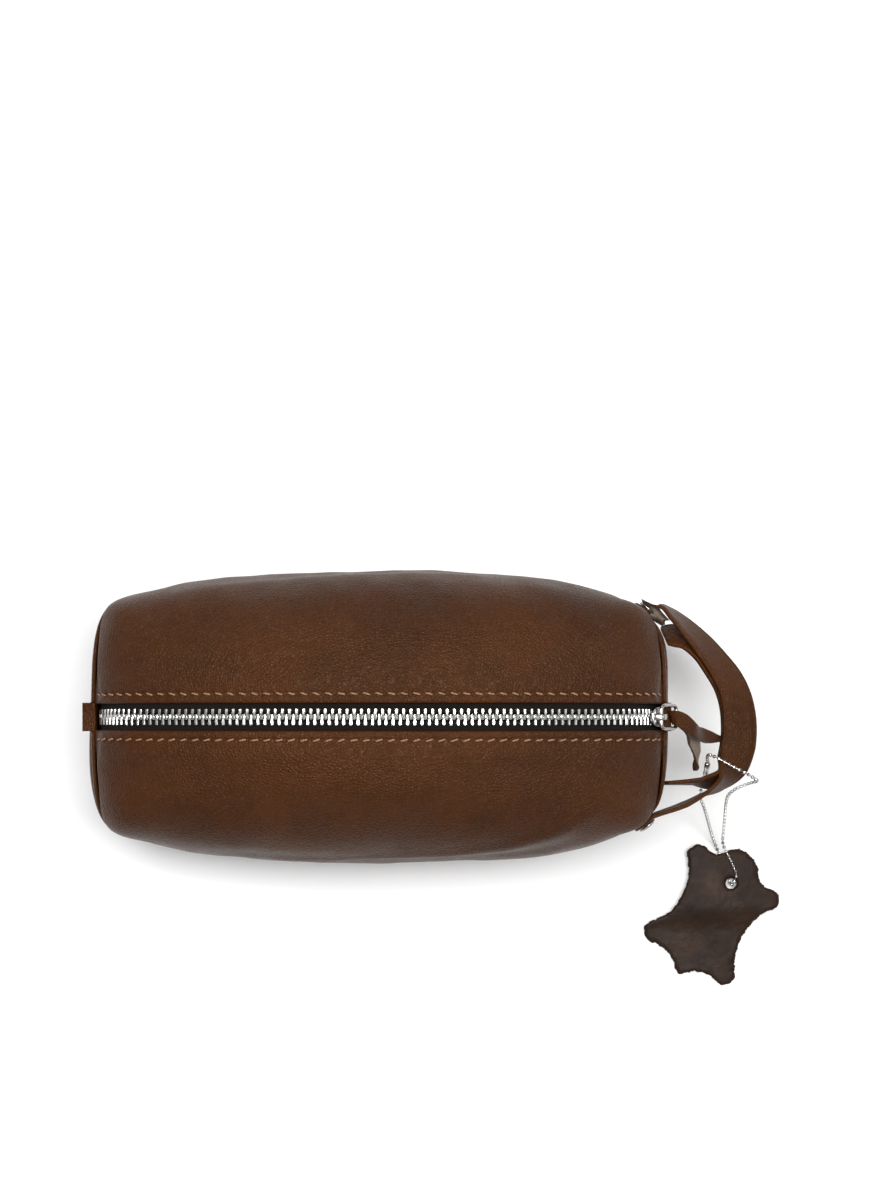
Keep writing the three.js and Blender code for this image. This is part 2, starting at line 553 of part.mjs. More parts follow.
// ball chain: round the handle strap, under its front run, then through the tag
const chainLine = [
  [20.1, -27.5, 42], [19.1, -31.5, 39.5], [18.8, -36.7, 35.5], [21.1, -41.2, 30.5], [23.8, -46.5, 24],
  [26.1, -51, 17], [28.9, -56.5, 9], [32.1, -62.5, 3], [35.1, -69, 1.2], [37.7, -75.3, 1.2],
  [38.6, -78.9, 1.9], [38.9, -80.3, 3.9], [39.4, -79.3, 5.8], [40.8, -75.9, 6.3], [39.6, -71.5, 6.2],
  [37.7, -67.3, 6.2], [35.7, -63.4, 6.1], [34.3, -60, 7.6], [33.6, -53.5, 13.5], [32.9, -46.8, 20.5],
  [32, -40.8, 28], [31.9, -36, 35.5], [34.5, -32.6, 43], [38.5, -30.2, 50], [40.7, -29, 56],
  [39.1, -27.8, 61.6], [34.1, -25, 64.8], [27.5, -21.6, 65.2], [21.9, -18.4, 63.8], [18.9, -17, 59.8],
  [19, -18.4, 53.5], [20.1, -20.6, 48.6],
].map(hung);
add('ball_chain', tube(curveOf(chainLine).getSpacedPoints(84), CHAIN_R, 6), 'metal');
const clasp = chainLine[0].clone().sub(chainLine.at(-1));
const long = clasp.length();
const claspRings = [[0.35, 0.8], [0.8, 1.35], [long - 0.8, 1.35], [long - 0.35, 0.8]];
add('chain_connector', lathe(chainLine.at(-1), clasp, claspRings, 14), 'metal');
export default root;
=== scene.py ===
"""A brown leather shaving kit bag: the leather, zip, handle, lace and tag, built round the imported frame.

Shapes are worked out in millimetres and turned into metres when each mesh is made.
"""

import math

import bmesh
import bpy
import numpy as np
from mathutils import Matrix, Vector


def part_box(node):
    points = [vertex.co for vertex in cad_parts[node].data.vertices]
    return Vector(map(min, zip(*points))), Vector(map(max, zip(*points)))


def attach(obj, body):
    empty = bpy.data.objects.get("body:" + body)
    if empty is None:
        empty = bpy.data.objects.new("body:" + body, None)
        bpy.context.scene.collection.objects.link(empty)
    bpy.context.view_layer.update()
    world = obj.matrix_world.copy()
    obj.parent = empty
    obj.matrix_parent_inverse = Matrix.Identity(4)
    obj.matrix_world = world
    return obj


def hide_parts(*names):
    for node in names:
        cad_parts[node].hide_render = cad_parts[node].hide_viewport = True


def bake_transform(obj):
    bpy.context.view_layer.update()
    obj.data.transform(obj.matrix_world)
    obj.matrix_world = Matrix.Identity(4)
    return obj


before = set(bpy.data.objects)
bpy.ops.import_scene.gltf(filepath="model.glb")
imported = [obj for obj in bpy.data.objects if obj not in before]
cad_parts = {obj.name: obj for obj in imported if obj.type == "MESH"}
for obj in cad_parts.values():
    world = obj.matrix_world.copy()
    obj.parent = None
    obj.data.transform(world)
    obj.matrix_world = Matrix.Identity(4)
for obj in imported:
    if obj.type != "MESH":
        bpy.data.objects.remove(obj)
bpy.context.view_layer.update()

MM = 0.001
RNG = np.random.default_rng(7)


def span(node):
    """Lowest and highest corners of a CAD node, in millimetres."""
    low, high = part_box(node)
    return np.array(low) / MM, np.array(high) / MM


# ---------------------------------------------------------------- sizes
end_high = span("right_end_panel")[1]
side_low, side_high = span("back_side_panel")
HALF_L = end_high[0]
HALF_W = side_high[1]
TOP_Z = 117.0
FOOT_Z = side_low[2]
LEATHER = 1.6
ZIP_HALF = 6.5
SPINE_X = 0.829 * HALF_L
SPINE_Z = 0.427 * TOP_Z
LEAN = math.radians(38)
STITCH_PITCH = 5.3
STITCH_IN = 3.3
TOOTH_PITCH = 3.1
STRAP_W = 16.0
STRAP_T = 1.8
STRAP_Z = 0.513 * TOP_Z
STRAP_GAP = 0.3
RIVET_TURN = 76.5  # degrees round the corner from the end, seen from above

# ---------------------------------------------------------------- the bag's form
LEVEL = np.array(
    [0, 0.068, 0.214, 0.43, 0.53, 0.615, 0.684, 0.752, 0.812, 0.855, 0.897, 0.94, 0.974, 0.991, 1]
)
LEN = np.array(
    [0.932, 0.966, 0.99, 1, 0.998, 0.987, 0.957, 0.908, 0.838, 0.755, 0.637, 0.491, 0.321, 0.186, 0.02]
)
WID = np.array(
    [0.86, 0.93, 0.98, 1, 0.993, 0.972, 0.942, 0.897, 0.825, 0.75, 0.655, 0.53, 0.385, 0.245, 0.03]
)


def smooth(t):
    c = np.clip(t, 0, 1)
    return c * c * (3 - 2 * c)


def lerp(a, b, t):
    return a + (b - a) * t


def along(table, t):
    """Smooth reading of a level table."""
    i = np.clip(np.searchsorted(LEVEL, t, side="right") - 1, 0, len(LEVEL) - 2)
    before, after = np.maximum(0, i - 1), np.minimum(len(LEVEL) - 1, i + 2)
    h = LEVEL[i + 1] - LEVEL[i]
    m0 = (table[i + 1] - table[before]) / (LEVEL[i + 1] - LEVEL[before]) * h
    m1 = (table[after] - table[i]) / (LEVEL[after] - LEVEL[i]) * h
    s = (t - LEVEL[i]) / h
    return (
        (2 * s**3 - 3 * s**2 + 1) * table[i]
        + (s**3 - 2 * s**2 + s) * m0
        + (3 * s**2 - 2 * s**3) * table[i + 1]
        + (s**3 - s**2) * m1
    )


def form(p):
    """Below zero inside the bag, above zero outside."""
    x, y, z = p[..., 0], p[..., 1], p[..., 2]
    t = np.clip(z / TOP_Z, 0, 1)
    n = lerp(6, 2.6, smooth((t - 0.62) / 0.36))
    a = HALF_L * np.maximum(0.01, along(LEN, t)) * (1 - 0.022 * (y / 50) ** 2)
    b = HALF_W * np.maximum(0.01, along(WID, t)) * (1 - 0.13 * (x / (0.837 * HALF_L)) ** 2)
    return (np.abs(x) / a) ** n + (np.abs(y) / b) ** n - 1 + np.maximum(0, z - TOP_Z)


def hit(origin, direction):
    """Where rays from inside the bag leave it."""
    origin, direction = np.broadcast_arrays(np.asarray(origin, float), np.asarray(direction, float))
    direction = direction / np.linalg.norm(direction, axis=-1, keepdims=True)
    low, high = np.zeros(origin.shape[:-1]), np.full(origin.shape[:-1], 200.0)
    for _ in range(40):
        middle = (low + high) / 2
        out = form(origin + direction * middle[..., None]) > 0
        high, low = np.where(out, middle, high), np.where(out, low, middle)
    return origin + direction * ((low + high) / 2)[..., None]


def unit(v):
    return v / np.linalg.norm(v, axis=-1, keepdims=True)


def vec(x, y, z):
    return np.stack(np.broadcast_arrays(np.asarray(x, float), np.asarray(y, float), np.asarray(z, float)), -1)


def normals_of(p):
    """Outward normals of the form, by differences."""
    e = 1.2
    g = []
    for k in range(3):
        step = np.zeros(3)
        step[k] = e
        hi, lo = p + step, p - step
        hi[..., 2] = np.minimum(hi[..., 2], TOP_Z - 0.01)
        lo[..., 2] = np.minimum(lo[..., 2], TOP_Z - 0.01)
        g.append(form(hi) - form(lo))
    n = unit(np.stack(g, -1))
    crown = unit(vec(p[..., 0] / (2.17 * HALF_L), p[..., 1] / 160, 1.0))
    flat = (p[..., 2] > TOP_Z - 2.2) & (np.abs(p[..., 0]) < 40) & (np.abs(p[..., 1]) < 12)
    return np.where(flat[..., None], crown, n)


def lean(u):
    return np.sign(u) * np.abs(u) ** 3 * LEAN


def spine(u):
    return vec(u * SPINE_X, 0, SPINE_Z)


def up_ray(u):
    return vec(np.sin(lean(u)), 0, np.cos(lean(u)))


def on_form(u, deg, side):
    """A point at station u, turned deg from the zip round the shoulder."""
    a = np.radians(deg)
    up = np.where((deg > 90)[..., None], vec(0, 0, 1), up_ray(u))
    return hit(spine(u), up * np.cos(a)[..., None] + vec(0, side * np.sin(a), 0))


def by_zip(u, y):
    """A point at station u, y to the side of the zip."""
    return hit(spine(u) + vec(0, y, 0), up_ray(u))


def ease(t):
    return t * (1.45 - 0.45 * t * t)


def foot_angle(u):
    low, high = np.full(u.shape, 91.0), np.full(u.shape, 150.0)
    for _ in range(30):
        middle = (low + high) / 2
        above = on_form(u, middle, 1)[..., 2] > FOOT_Z
        low, high = np.where(above, middle, low), np.where(above, high, middle)
    return low


# the zip line, by length along the crown
line_u = ease(np.linspace(-1, 1, 601))
line_p = by_zip(line_u, np.zeros(601))
line_s = np.concatenate([[0], np.cumsum(np.linalg.norm(np.diff(line_p, axis=0), axis=1))])
HALF_RUN = line_s[-1] / 2


def u_at(s):
    return np.interp(s + HALF_RUN, line_s, line_u)


def zip_sink(s):
    return 2.3 * smooth((np.abs(u_at(s)) - 0.84) / 0.12)


def zip_map(s, y, depth):
    """A point s along the zip line, y to the side, depth under the leather."""
    s, y, depth = np.broadcast_arrays(np.asarray(s, float), np.asarray(y, float), np.asarray(depth, float))
    c = np.clip(s, -HALF_RUN, HALF_RUN)
    u = u_at(c)
    n = normals_of(by_zip(u, np.zeros_like(u)))
    run = vec(n[..., 2], 0, -n[..., 0])
    return by_zip(u, y) + run * (s - c)[..., None] - n * depth[..., None]


# ---------------------------------------------------------------- mesh helpers
def mesh_piece(name, points, faces, material, smooth_faces=True):
    """A mesh object from millimetre points."""
    mesh = bpy.data.meshes.new(name)
    mesh.from_pydata(
        [tuple(p) for p in np.asarray(points) * MM], [], [tuple(int(i) for i in f) for f in faces]
    )
    mesh.validate()
    obj = bpy.data.objects.new(name, mesh)
    bpy.context.scene.collection.objects.link(obj)
    if smooth_faces:
        mesh.shade_smooth()
    if material:
        mesh.materials.append(material)
    bm = bmesh.new()
    bm.from_mesh(mesh)
    bmesh.ops.recalc_face_normals(bm, faces=bm.faces)
    bm.to_mesh(mesh)
    bm.free()
    return obj


def grid_faces(rows, cols, wrap_rows=False, wrap_cols=False, start=0):
    r = np.arange(rows if wrap_rows else rows - 1)
    c = np.arange(cols if wrap_cols else cols - 1)
    i, j = np.meshgrid(r, c, indexing="ij")
    i2, j2 = (i + 1) % rows, (j + 1) % cols
    quads = np.stack([i * cols + j, i2 * cols + j, i2 * cols + j2, i * cols + j2], -1)
    return start + quads.reshape(-1, 4)


def hide(name, outer, inner, material, round_rows=(True, True)):
    """A closed leather sheet from outer and inner grids (rows x cols), with rounded row edges."""
    rows, cols = outer.shape[:2]

    def edge(k):
        middle = (outer[k] + inner[k]) / 2
        out = unit(outer[k] - outer[k + (1 if k == 0 else -1)])
        half = np.linalg.norm(outer[k] - inner[k], axis=-1, keepdims=True) / 2
        n = (outer[k] - inner[k]) / (2 * half)
        return [middle + n * half * math.cos(a) + out * half * math.sin(a) for a in (0.55, 1.57, 2.6)]

    first = edge(0)[::-1] if round_rows[0] else []
    last = edge(rows - 1) if round_rows[1] else []
    ring = [*first, *outer, *last, *inner[::-1]]
    loop = np.array(ring)
    faces = list(grid_faces(len(loop), cols, wrap_rows=True))
    n = len(loop)
    off, end = len(first), len(first) + rows - 1
    back = n - 1
    for c in (0, cols - 1):
        for k in range(rows - 1):
            faces.append(
                [
                    (off + k) * cols + c,
                    (off + k + 1) * cols + c,
                    (back - k - 1) * cols + c,
                    (back - k) * cols + c,
                ]
            )
        if first:
            faces.append([i * cols + c for i in range(off + 1)] + [back * cols + c])
        if last:
            faces.append([i * cols + c for i in range(end, end + len(last) + 2)])
    return mesh_piece(name, loop.reshape(-1, 3), faces, material)


def sweep(name, rings, material, closed=False):
    """Rings of points joined along a path."""
    rings = np.array(rings)
    n, m = rings.shape[:2]
    faces = list(grid_faces(n, m, wrap_rows=closed, wrap_cols=True))
    if not closed:
        faces += [list(range(m)), list(range((n - 1) * m, n * m))]
    return mesh_piece(name, rings.reshape(-1, 3), faces, material)


def spline(points, count, closed=False):
    """Even points on a centripetal curve through the given ones."""
    p = np.array(points, float)
    p = np.vstack([p[-1], p, p[0], p[1]]) if closed else np.vstack([2 * p[0] - p[1], p, 2 * p[-1] - p[-2]])
    dense = []
    for k in range(1, len(p) - 2):
        t = [0]
        for a, b in ((k - 1, k), (k, k + 1), (k + 1, k + 2)):
            t.append(t[-1] + max(1e-6, np.linalg.norm(p[b] - p[a])) ** 0.5)
        x = np.linspace(t[1], t[2], 24, endpoint=False)[:, None]
        q = [p[k - 1], p[k], p[k + 1], p[k + 2]]
        a1, a2, a3 = (((t[i + 1] - x) * q[i] + (x - t[i]) * q[i + 1]) / (t[i + 1] - t[i]) for i in range(3))
        b1 = ((t[2] - x) * a1 + (x - t[0]) * a2) / (t[2] - t[0])
        b2 = ((t[3] - x) * a2 + (x - t[1]) * a3) / (t[3] - t[1])
        dense.append(((t[2] - x) * b1 + (x - t[1]) * b2) / (t[2] - t[1]))
    dense = np.vstack([*dense, p[-2:-1]])
    s = np.concatenate([[0], np.cumsum(np.linalg.norm(np.diff(dense, axis=0), axis=1))])
    at = np.linspace(0, s[-1], count, endpoint=not closed)
    return np.stack([np.interp(at, s, dense[:, k]) for k in range(3)], -1)


def tangents(p, closed=False):
    if closed:
        return unit(np.roll(p, -1, 0) - np.roll(p, 1, 0))
    return unit(np.gradient(p, axis=0))


def tube(name, path, radius, sides, material, closed=False):
    t = tangents(path, closed)
    ref = np.array([0, 0, 1.0]) if abs(t[0][2]) < 0.8 else np.array([1.0, 0, 0])
    rings = []
    a = np.linspace(0, 2 * math.pi, sides, endpoint=False)[:, None]
    for p, d in zip(path, t):
        ref = unit(ref - d * ref.dot(d))
        rings.append(p + radius * (ref * np.cos(a) + np.cross(d, ref) * np.sin(a)))
    return sweep(name, rings, material, closed)


# ---------------------------------------------------------------- materials
class Shader:
    """A node material built a line at a time."""

    def __init__(self, name, color, roughness, metallic=0.0):
        self.material = bpy.data.materials.new(name)
        self.material.use_nodes = True
        self.tree = self.material.node_tree
        self.shader = self.tree.nodes["Principled BSDF"]
        self.set(**{"Base Color": (*color, 1), "Roughness": roughness, "Metallic": metallic})

    def set(self, **values):
        for key, value in values.items():
            self.shader.inputs[key].default_value = value
        return self

    def node(self, kind, inputs=(), **settings):
        made = self.tree.nodes.new(kind)
        for key, value in settings.items():
            setattr(made, key, value)
        for key, value in dict(inputs).items():
            if isinstance(value, bpy.types.NodeSocket):
                self.tree.links.new(value, made.inputs[key])
            else:
                made.inputs[key].default_value = value
        return made

    def coords(self, scale=(1, 1, 1)):
        place = self.node("ShaderNodeTexCoord")
        return self.node("ShaderNodeMapping", {"Vector": place.outputs["Object"], "Scale": scale}).outputs[0]

    def noise(self, scale, detail=3.0, vector=None, rough=0.5):
        return self.node(
            "ShaderNodeTexNoise", {
                "Vector": vector or self.coords(), "Scale": scale, "Detail": detail, "Roughness": rough
            }
        ).outputs["Fac"]

    def cells(self, scale, vector=None, feature="DISTANCE_TO_EDGE"):
        return self.node(
            "ShaderNodeTexVoronoi", {"Vector": vector or self.coords(), "Scale": scale}, feature=feature
        ).outputs["Distance"]

    def ramp(self, value, stops):
        made = self.node("ShaderNodeValToRGB", {"Fac": value})
        ramp = made.color_ramp
        while len(ramp.elements) < len(stops):
            ramp.elements.new(0.5)
        for element, (at, color) in zip(ramp.elements, stops):
            element.position = at
            element.color = (*color, 1) if len(color) == 3 else color
        return made.outputs["Color"]

    def mix(self, fac, a, b, blend="MIX"):
        made = self.node("ShaderNodeMix", data_type="RGBA", blend_type=blend)
        for socket, value in ((made.inputs[0], fac), (made.inputs[6], a), (made.inputs[7], b)):
            if isinstance(value, bpy.types.NodeSocket):
                self.tree.links.new(value, socket)
            else:
                socket.default_value = value if isinstance(value, float) else (*value, 1)
        return made.outputs[2]

    def math(self, operation, a, b=0.0):
        return self.node("ShaderNodeMath", {0: a, 1: b}, operation=operation).outputs[0]

    def color(self, socket):
        self.tree.links.new(socket, self.shader.inputs["Base Color"])

    def rough(self, socket):
        self.tree.links.new(socket, self.shader.inputs["Roughness"])

    def bump(self, *layers):
        """Layers of (height socket, distance in metres, strength)."""
        normal = None
        for height, distance, strength in layers:
            inputs = {"Height": height, "Distance": distance, "Strength": strength}
            if normal:
                inputs["Normal"] = normal
            normal = self.node("ShaderNodeBump", inputs).outputs["Normal"]
        self.tree.links.new(normal, self.shader.inputs["Normal"])
        return self.material


def brown_hide(name, light, dark, roughness=0.44, grain=1.0):
    """Smooth waxed leather: cloudy colour, fine pebble grain, faint creases and polished high spots."""
    m = Shader(name, light, roughness)
    m.set(**{"Specular IOR Level": 0.27, "Specular Tint": (1.0, 0.72, 0.50, 1.0)})
    cloud = m.noise(16, 4, rough=0.55)
    pale = tuple(c * 1.12 for c in light)
    base = m.ramp(cloud, [(0.36, dark), (0.52, light), (0.72, pale)])
    specks = m.ramp(m.noise(140, 4), [(0.3, (0.84, 0.82, 0.80)), (0.6, (1, 1, 1))])
    pores = m.ramp(m.cells(950, feature="F1"), [(0.0, (0.55, 0.52, 0.5)), (0.5, (1, 1, 1))])
    m.color(m.mix(0.6, m.mix(0.8, base, specks, "MULTIPLY"), pores, "MULTIPLY"))
    wear = m.noise(70, 3)
    m.rough(
        m.node("ShaderNodeMath", {0: wear, 1: 0.22, 2: roughness - 0.11}, operation="MULTIPLY_ADD").outputs[0]
    )
    pebble = m.math("MINIMUM", m.cells(760), 0.3)
    pull = m.noise(60, 3, m.coords((1, 1, 1)), 0.6)
    return m.bump(
        (pull, 0.0022, 0.22), (pebble, 0.0013, 0.55 * grain), (m.noise(2300, 2), 0.0004, 0.3 * grain)
    )


def woven(name, color, pitch, roughness=0.85):
    """A plain weave."""
    m = Shader(name, color, roughness)
    m.set(**{"Specular IOR Level": 0.2})
    waves = []
    for axis in ("X", "Y"):
        waves.append(
            m.node(
                "ShaderNodeTexWave",
                {"Vector": m.coords(), "Scale": 0.314 / pitch * 10, "Distortion": 0.6, "Detail": 1.0},
                bands_direction=axis,
            ).outputs["Fac"]
        )
    threads = m.math("MULTIPLY", *waves)
    shade = m.ramp(threads, [(0.1, tuple(c * 0.45 for c in color)), (0.7, color)])
    m.color(m.mix(0.35, shade, m.ramp(m.noise(40), [(0.3, (0.6, 0.6, 0.6)), (0.7, (1, 1, 1))]), "MULTIPLY"))
    return m.bump((threads, 0.0004, 0.5))


def metal(name, color, roughness, scratch=0.25):
    m = Shader(name, color, roughness, 1.0)
    fine = m.noise(900, 4, m.coords((1, 6, 1)))
    m.rough(
        m.node(
            "ShaderNodeMath",
            {0: fine, 1: scratch * 0.5, 2: roughness - scratch * 0.2},
            operation="MULTIPLY_ADD",
        ).outputs[0]
    )
    m.color(
        m.mix(
            0.6, m.ramp(m.noise(240, 3), [(0.3, tuple(c * 0.78 for c in color)), (0.65, color)]), color, "MIX"
        )
    )
    return m.bump((fine, 0.0001, 0.15))


BROWN = (0.047, 0.0128, 0.0020)
BROWN_DARK = (0.034, 0.0087, 0.0013)
leather = brown_hide("waxed_leather", BROWN, BROWN_DARK)
strap_leather = brown_hide("strap_leather", (0.050, 0.0142, 0.0024), (0.031, 0.0084, 0.0014), 0.5, 1.0)
tape_cloth = woven("zip_tape_cloth", (0.011, 0.0075, 0.0055), 0.0011)
lining_cloth = woven("lining_twill", (0.075, 0.06, 0.045), 0.0013)
board = woven("fibre_board", (0.22, 0.15, 0.09), 0.004)
bright_metal = metal("nickel", (0.50, 0.49, 0.47), 0.22)
teeth_metal = metal("zip_metal", (0.74, 0.73, 0.71), 0.24)


def thread_material():
    m = Shader("waxed_thread", (0.30, 0.16, 0.085), 0.6)
    twist = m.node(
        "ShaderNodeTexWave", {
            "Vector": m.coords(), "Scale": 420.0, "Distortion": 1.0
        }, bands_direction="DIAGONAL"
    ).outputs["Fac"]
    m.color(m.ramp(twist, [(0.0, (0.17, 0.085, 0.04)), (0.6, (0.34, 0.19, 0.105))]))
    return m.bump((twist, 0.0002, 0.5))


thread = thread_material()


def rough_hide():
    """The tag's split leather: dark, matt and cloudy, with raised fibres."""
    m = Shader("tag_leather", (0.05, 0.022, 0.01), 0.62)
    m.set(**{"Specular IOR Level": 0.2})
    cloud = m.noise(60, 5, rough=0.65)
    m.color(
        m.ramp(
            cloud,
            [(0.3, (0.011, 0.0042, 0.0015)), (0.55, (0.021, 0.0085, 0.0032)), (0.78, (0.042, 0.021, 0.010))],
        )
    )
    m.rough(m.node("ShaderNodeMath", {0: m.noise(45), 1: 0.35, 2: 0.36}, operation="MULTIPLY_ADD").outputs[0])
    return m.bump((m.noise(140, 4), 0.0012, 0.35), (m.noise(1400, 3), 0.0004, 0.5))


tag_leather = rough_hide()


def flesh_side():
    m = Shader("flesh_side", (0.20, 0.15, 0.11), 0.9)
    nap = m.noise(1300, 5)
    m.color(m.ramp(nap, [(0.3, (0.12, 0.085, 0.06)), (0.7, (0.26, 0.20, 0.155))]))
    return m.bump((nap, 0.0005, 0.6))


flesh = flesh_side()

# ---------------------------------------------------------------- the stitched line beside the zip
seam_u = ease(np.linspace(-1, 1, 601)) * 0.972
seam_p = by_zip(seam_u, np.full(601, ZIP_HALF + STITCH_IN))
seam_s = np.concatenate([[0], np.cumsum(np.linalg.norm(np.diff(seam_p, axis=0), axis=1))])
STITCHES = int(round(seam_s[-1] / STITCH_PITCH))
STITCH_STEP = seam_s[-1] / STITCHES

# ---------------------------------------------------------------- leather body
SHELL_COLS = 420


def blend_lip(obj):
    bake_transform(obj)


def relief(p, side, s, y):
    """How far the leather stands out: the stitched channel, the folded edge, soft dents and the fold."""
    x, z = p[..., 0], p[..., 2]
    seam = y - ZIP_HALF - STITCH_IN
    beat = 0.5 - 0.5 * np.cos(2 * math.pi * s / STITCH_STEP)
    out = -0.42 * np.exp(-((seam / 1.0) ** 2)) * (0.45 + 0.55 * (1 - beat))
    out += 0.30 * np.exp(-(((y - ZIP_HALF - 1.3) / 1.2) ** 2)) * (0.8 + 0.2 * beat)
    out += 0.5 * np.exp(-(((seam - 5.5) / 5) ** 2))
    away = smooth((y - ZIP_HALF - 5) / 16)
    soft = 0
    for k, (fx, fy, fz, size) in enumerate(
        [
            (0.019, 0.02, 0.03, 0.5),
            (0.037, -0.04, 0.05, 0.26),
            (-0.061, 0.07, 0.05, 0.17),
            (0.13, 0.11, -0.12, 0.08),
            (0.21, -0.16, 0.19, 0.04),
        ]
    ):
        soft = soft + size * np.sin(fx * 2 * x + fy * 2 * p[..., 1] + fz * z + 1.7 * k + side)
    out += away * soft
    if side < 0:
        # a long soft fold across the front shoulder, with the leather below it pulled in
        line = 75 + 0.155 * (x + 36) - z
        reach = smooth((x + 75) / 45) * smooth((112 - x) / 40)
        out += reach * (
            0.85 * np.exp(-((line / 3.6) ** 2)) - 1.15 * np.exp(
                -(((line - 8.5) / 6.5) ** 2)
            ) - 0.35 * np.exp(-(((line + 9) / 7) ** 2))
        )
    else:
        line = 79 - 0.05 * (x - 20) - z
        reach = smooth((x + 105) / 50) * smooth((70 - x) / 50)
        out += reach * (0.5 * np.exp(-((line / 4.5) ** 2)) - 0.6 * np.exp(-(((line - 9) / 7) ** 2)))
    return out


def fullness(p):
    """Stuffed corners: the leather swells where side, end and top meet, with a shallow valley by the zip."""
    x, y, z = np.abs(p[..., 0]), np.abs(p[..., 1]), p[..., 2]
    right = p[..., 0] > 0
    swell = np.exp(
        -(((x - 115) / 13) ** 2) - (((y - 46) / 12) ** 2)
    ) * smooth((z - np.where(right, 66, 30)) / 16)
    valley = np.exp(-(((x - 108) / 12) ** 2) - (((y - 24) / 9) ** 2)) * smooth((z - 80) / 12)
    out = unit(vec(np.sign(p[..., 0]) * 0.65, np.sign(p[..., 1]) * 0.75, 0.12))
    return out * (4.0 * swell)[..., None] - normals_of(p) * (0.9 * valley)[..., None]


def leather_half(name, side):
    """One side of the bag in a single skin: folded lip, shoulder, wall and foot."""
    s = np.linspace(-1, 1, SHELL_COLS)
    u = ease(s) * 0.9985
    run = np.interp(u, seam_u, seam_s)
    near = ZIP_HALF + np.concatenate([np.arange(0, 6.6, 0.55), [7.3, 8.2, 9.3]])
    rows, across = [], []
    for y in near:
        rows.append(by_zip(u, np.full_like(u, side * y)))
        across.append(np.full_like(u, y))
    c = rows[-1] - spine(u)
    first = np.degrees(np.arctan2(side * c[..., 1], (c * up_ray(u)).sum(-1)))
    foot = foot_angle(u)
    for t in (np.linspace(0, 1, 96)[1:]) ** 1.05:
        deg = lerp(first, foot, t)
        p = on_form(u, deg, side)
        rows.append(p)
        across.append(across[-1] + np.linalg.norm(p - rows[-2], axis=-1))
    p, y = np.array(rows), np.array(across)
    n = normals_of(p)
    lap = 2.1 * smooth((np.abs(u) - 0.958) / 0.022)[None, :] * smooth((y - 13) / 8)
    lap = lap + 1.2 * smooth((np.abs(u) - 0.93) / 0.05)[None, :] * (1 - smooth((y - 13) / 8))
    out = relief(p, side, np.broadcast_to(run, y.shape), y) * (1 - smooth((np.abs(u) - 0.95) / 0.03))[None, :]
    foot_fade = smooth((p[..., 2] - FOOT_Z) / 12)
    outer = p + n * (out * foot_fade - lap)[..., None] + fullness(p)
    outer[-1, :, 2] = FOOT_Z - 1.2
    inner = outer - n * LEATHER
    inner[-1, :, 2] = FOOT_Z - 0.2
    return hide(name, outer, inner, leather)


halves = {}
for label, side in (("front", -1), ("back", 1)):
    half = leather_half(label + "_leather", side)
    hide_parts(label + "_top_panel", label + "_side_panel")
    blend_lip(half)
    halves[label] = half


def end_point(end, azimuth, t):
    """A point on an end panel: azimuth round the end, t from the foot to the top edge."""
    az = np.radians(azimuth)
    start = vec(end * SPINE_X, 0, SPINE_Z) + az[..., None] * 0
    phi = np.arctan2(np.sin(az) * math.sin(LEAN), np.cos(az))
    top = vec(end * math.sin(LEAN), 0, math.cos(LEAN)) * np.cos(phi)[..., None] + vec(0, np.sin(phi), 0)
    top[..., 2] -= 0.3 * (1 - smooth((np.abs(azimuth) - 13) / 7)) + 0.01
    level = vec(end * np.cos(az), np.sin(az), 0)
    low, high = np.zeros(az.shape), np.full(az.shape, 150.0)
    for _ in range(40):
        middle = (low + high) / 2
        p = start + level * middle[..., None]
        p[..., 2] = FOOT_Z
        out = form(p) > 0
        high, low = np.where(out, middle, high), np.where(out, low, middle)
    foot = unit(level * low[..., None] + vec(0, 0, FOOT_Z - SPINE_Z))
    return hit(start, unit(lerp(foot, unit(top), t[..., None])))


def end_panel(name, end):
    """An end of the bag, wrapped round both corners and lapped over the two sides."""
    az = np.linspace(-91.6, 91.6, 150)
    t = np.concatenate([np.linspace(0, 0.93, 56), np.linspace(0.94, 1.02, 16)])
    a, tt = np.meshgrid(az, t)
    p = end_point(end, a, tt)
    n = normals_of(p)
    edge = np.minimum(smooth((1.02 - tt) / 0.10), smooth((91.6 - np.abs(a)) / 5))
    soft = 0.5 * np.sin(
        0.05 * p[..., 1] + 0.07 * p[..., 2] + end
    ) + 0.25 * np.sin(0.11 * p[..., 1] - 0.13 * p[..., 2])
    channel = -0.3 * np.exp(-(((1.02 - tt) * 62 - 3.6) / 0.9) ** 2) - 0.3 * np.exp(
        -(((91.6 - np.abs(a)) * 0.95 - 3.6) / 0.9) ** 2
    )
    outer = p + n * (edge * soft + channel * smooth((p[..., 2] - FOOT_Z) / 6) + 0.1)[..., None] + fullness(p)
    outer[0, :, 2] = FOOT_Z - 1.2
    inner = outer - n * (LEATHER + 0.1)
    inner[0, :, 2] = FOOT_Z - 0.2
    return hide(name, outer[::-1], inner[::-1], leather)


for label, end in (("left", -1), ("right", 1)):
    piece = end_panel(label + "_end_leather", end)
    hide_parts(label + "_end_panel")
    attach(piece, "bag")


def base_slab():
    a = np.linspace(0, 2 * math.pi, 220, endpoint=False)
    d = unit(vec(np.cos(a) * 1.9, np.sin(a), 0))
    rings = []
    for z, inset in ((0.5, 2.1), (0.0, 2.9), (0.0, 6.0), (0.0, 20.0)):
        p = hit(vec(0, 0, 2.0), d)
        n = normals_of(p)
        n[:, 2] = 0
        q = p - unit(n) * inset
        q[:, 2] = z
        rings.append(q)
    top = rings[0].copy()
    top[:, 2] = 2.0
    mid = rings[0] + (rings[0] - rings[1]) * vec(0.6, 0.6, 0)
    mid[:, 2] = 1.2
    return sweep("base_leather", [top, mid, *rings], leather)


base = base_slab()
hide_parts("base_panel")
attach(base, "bag")


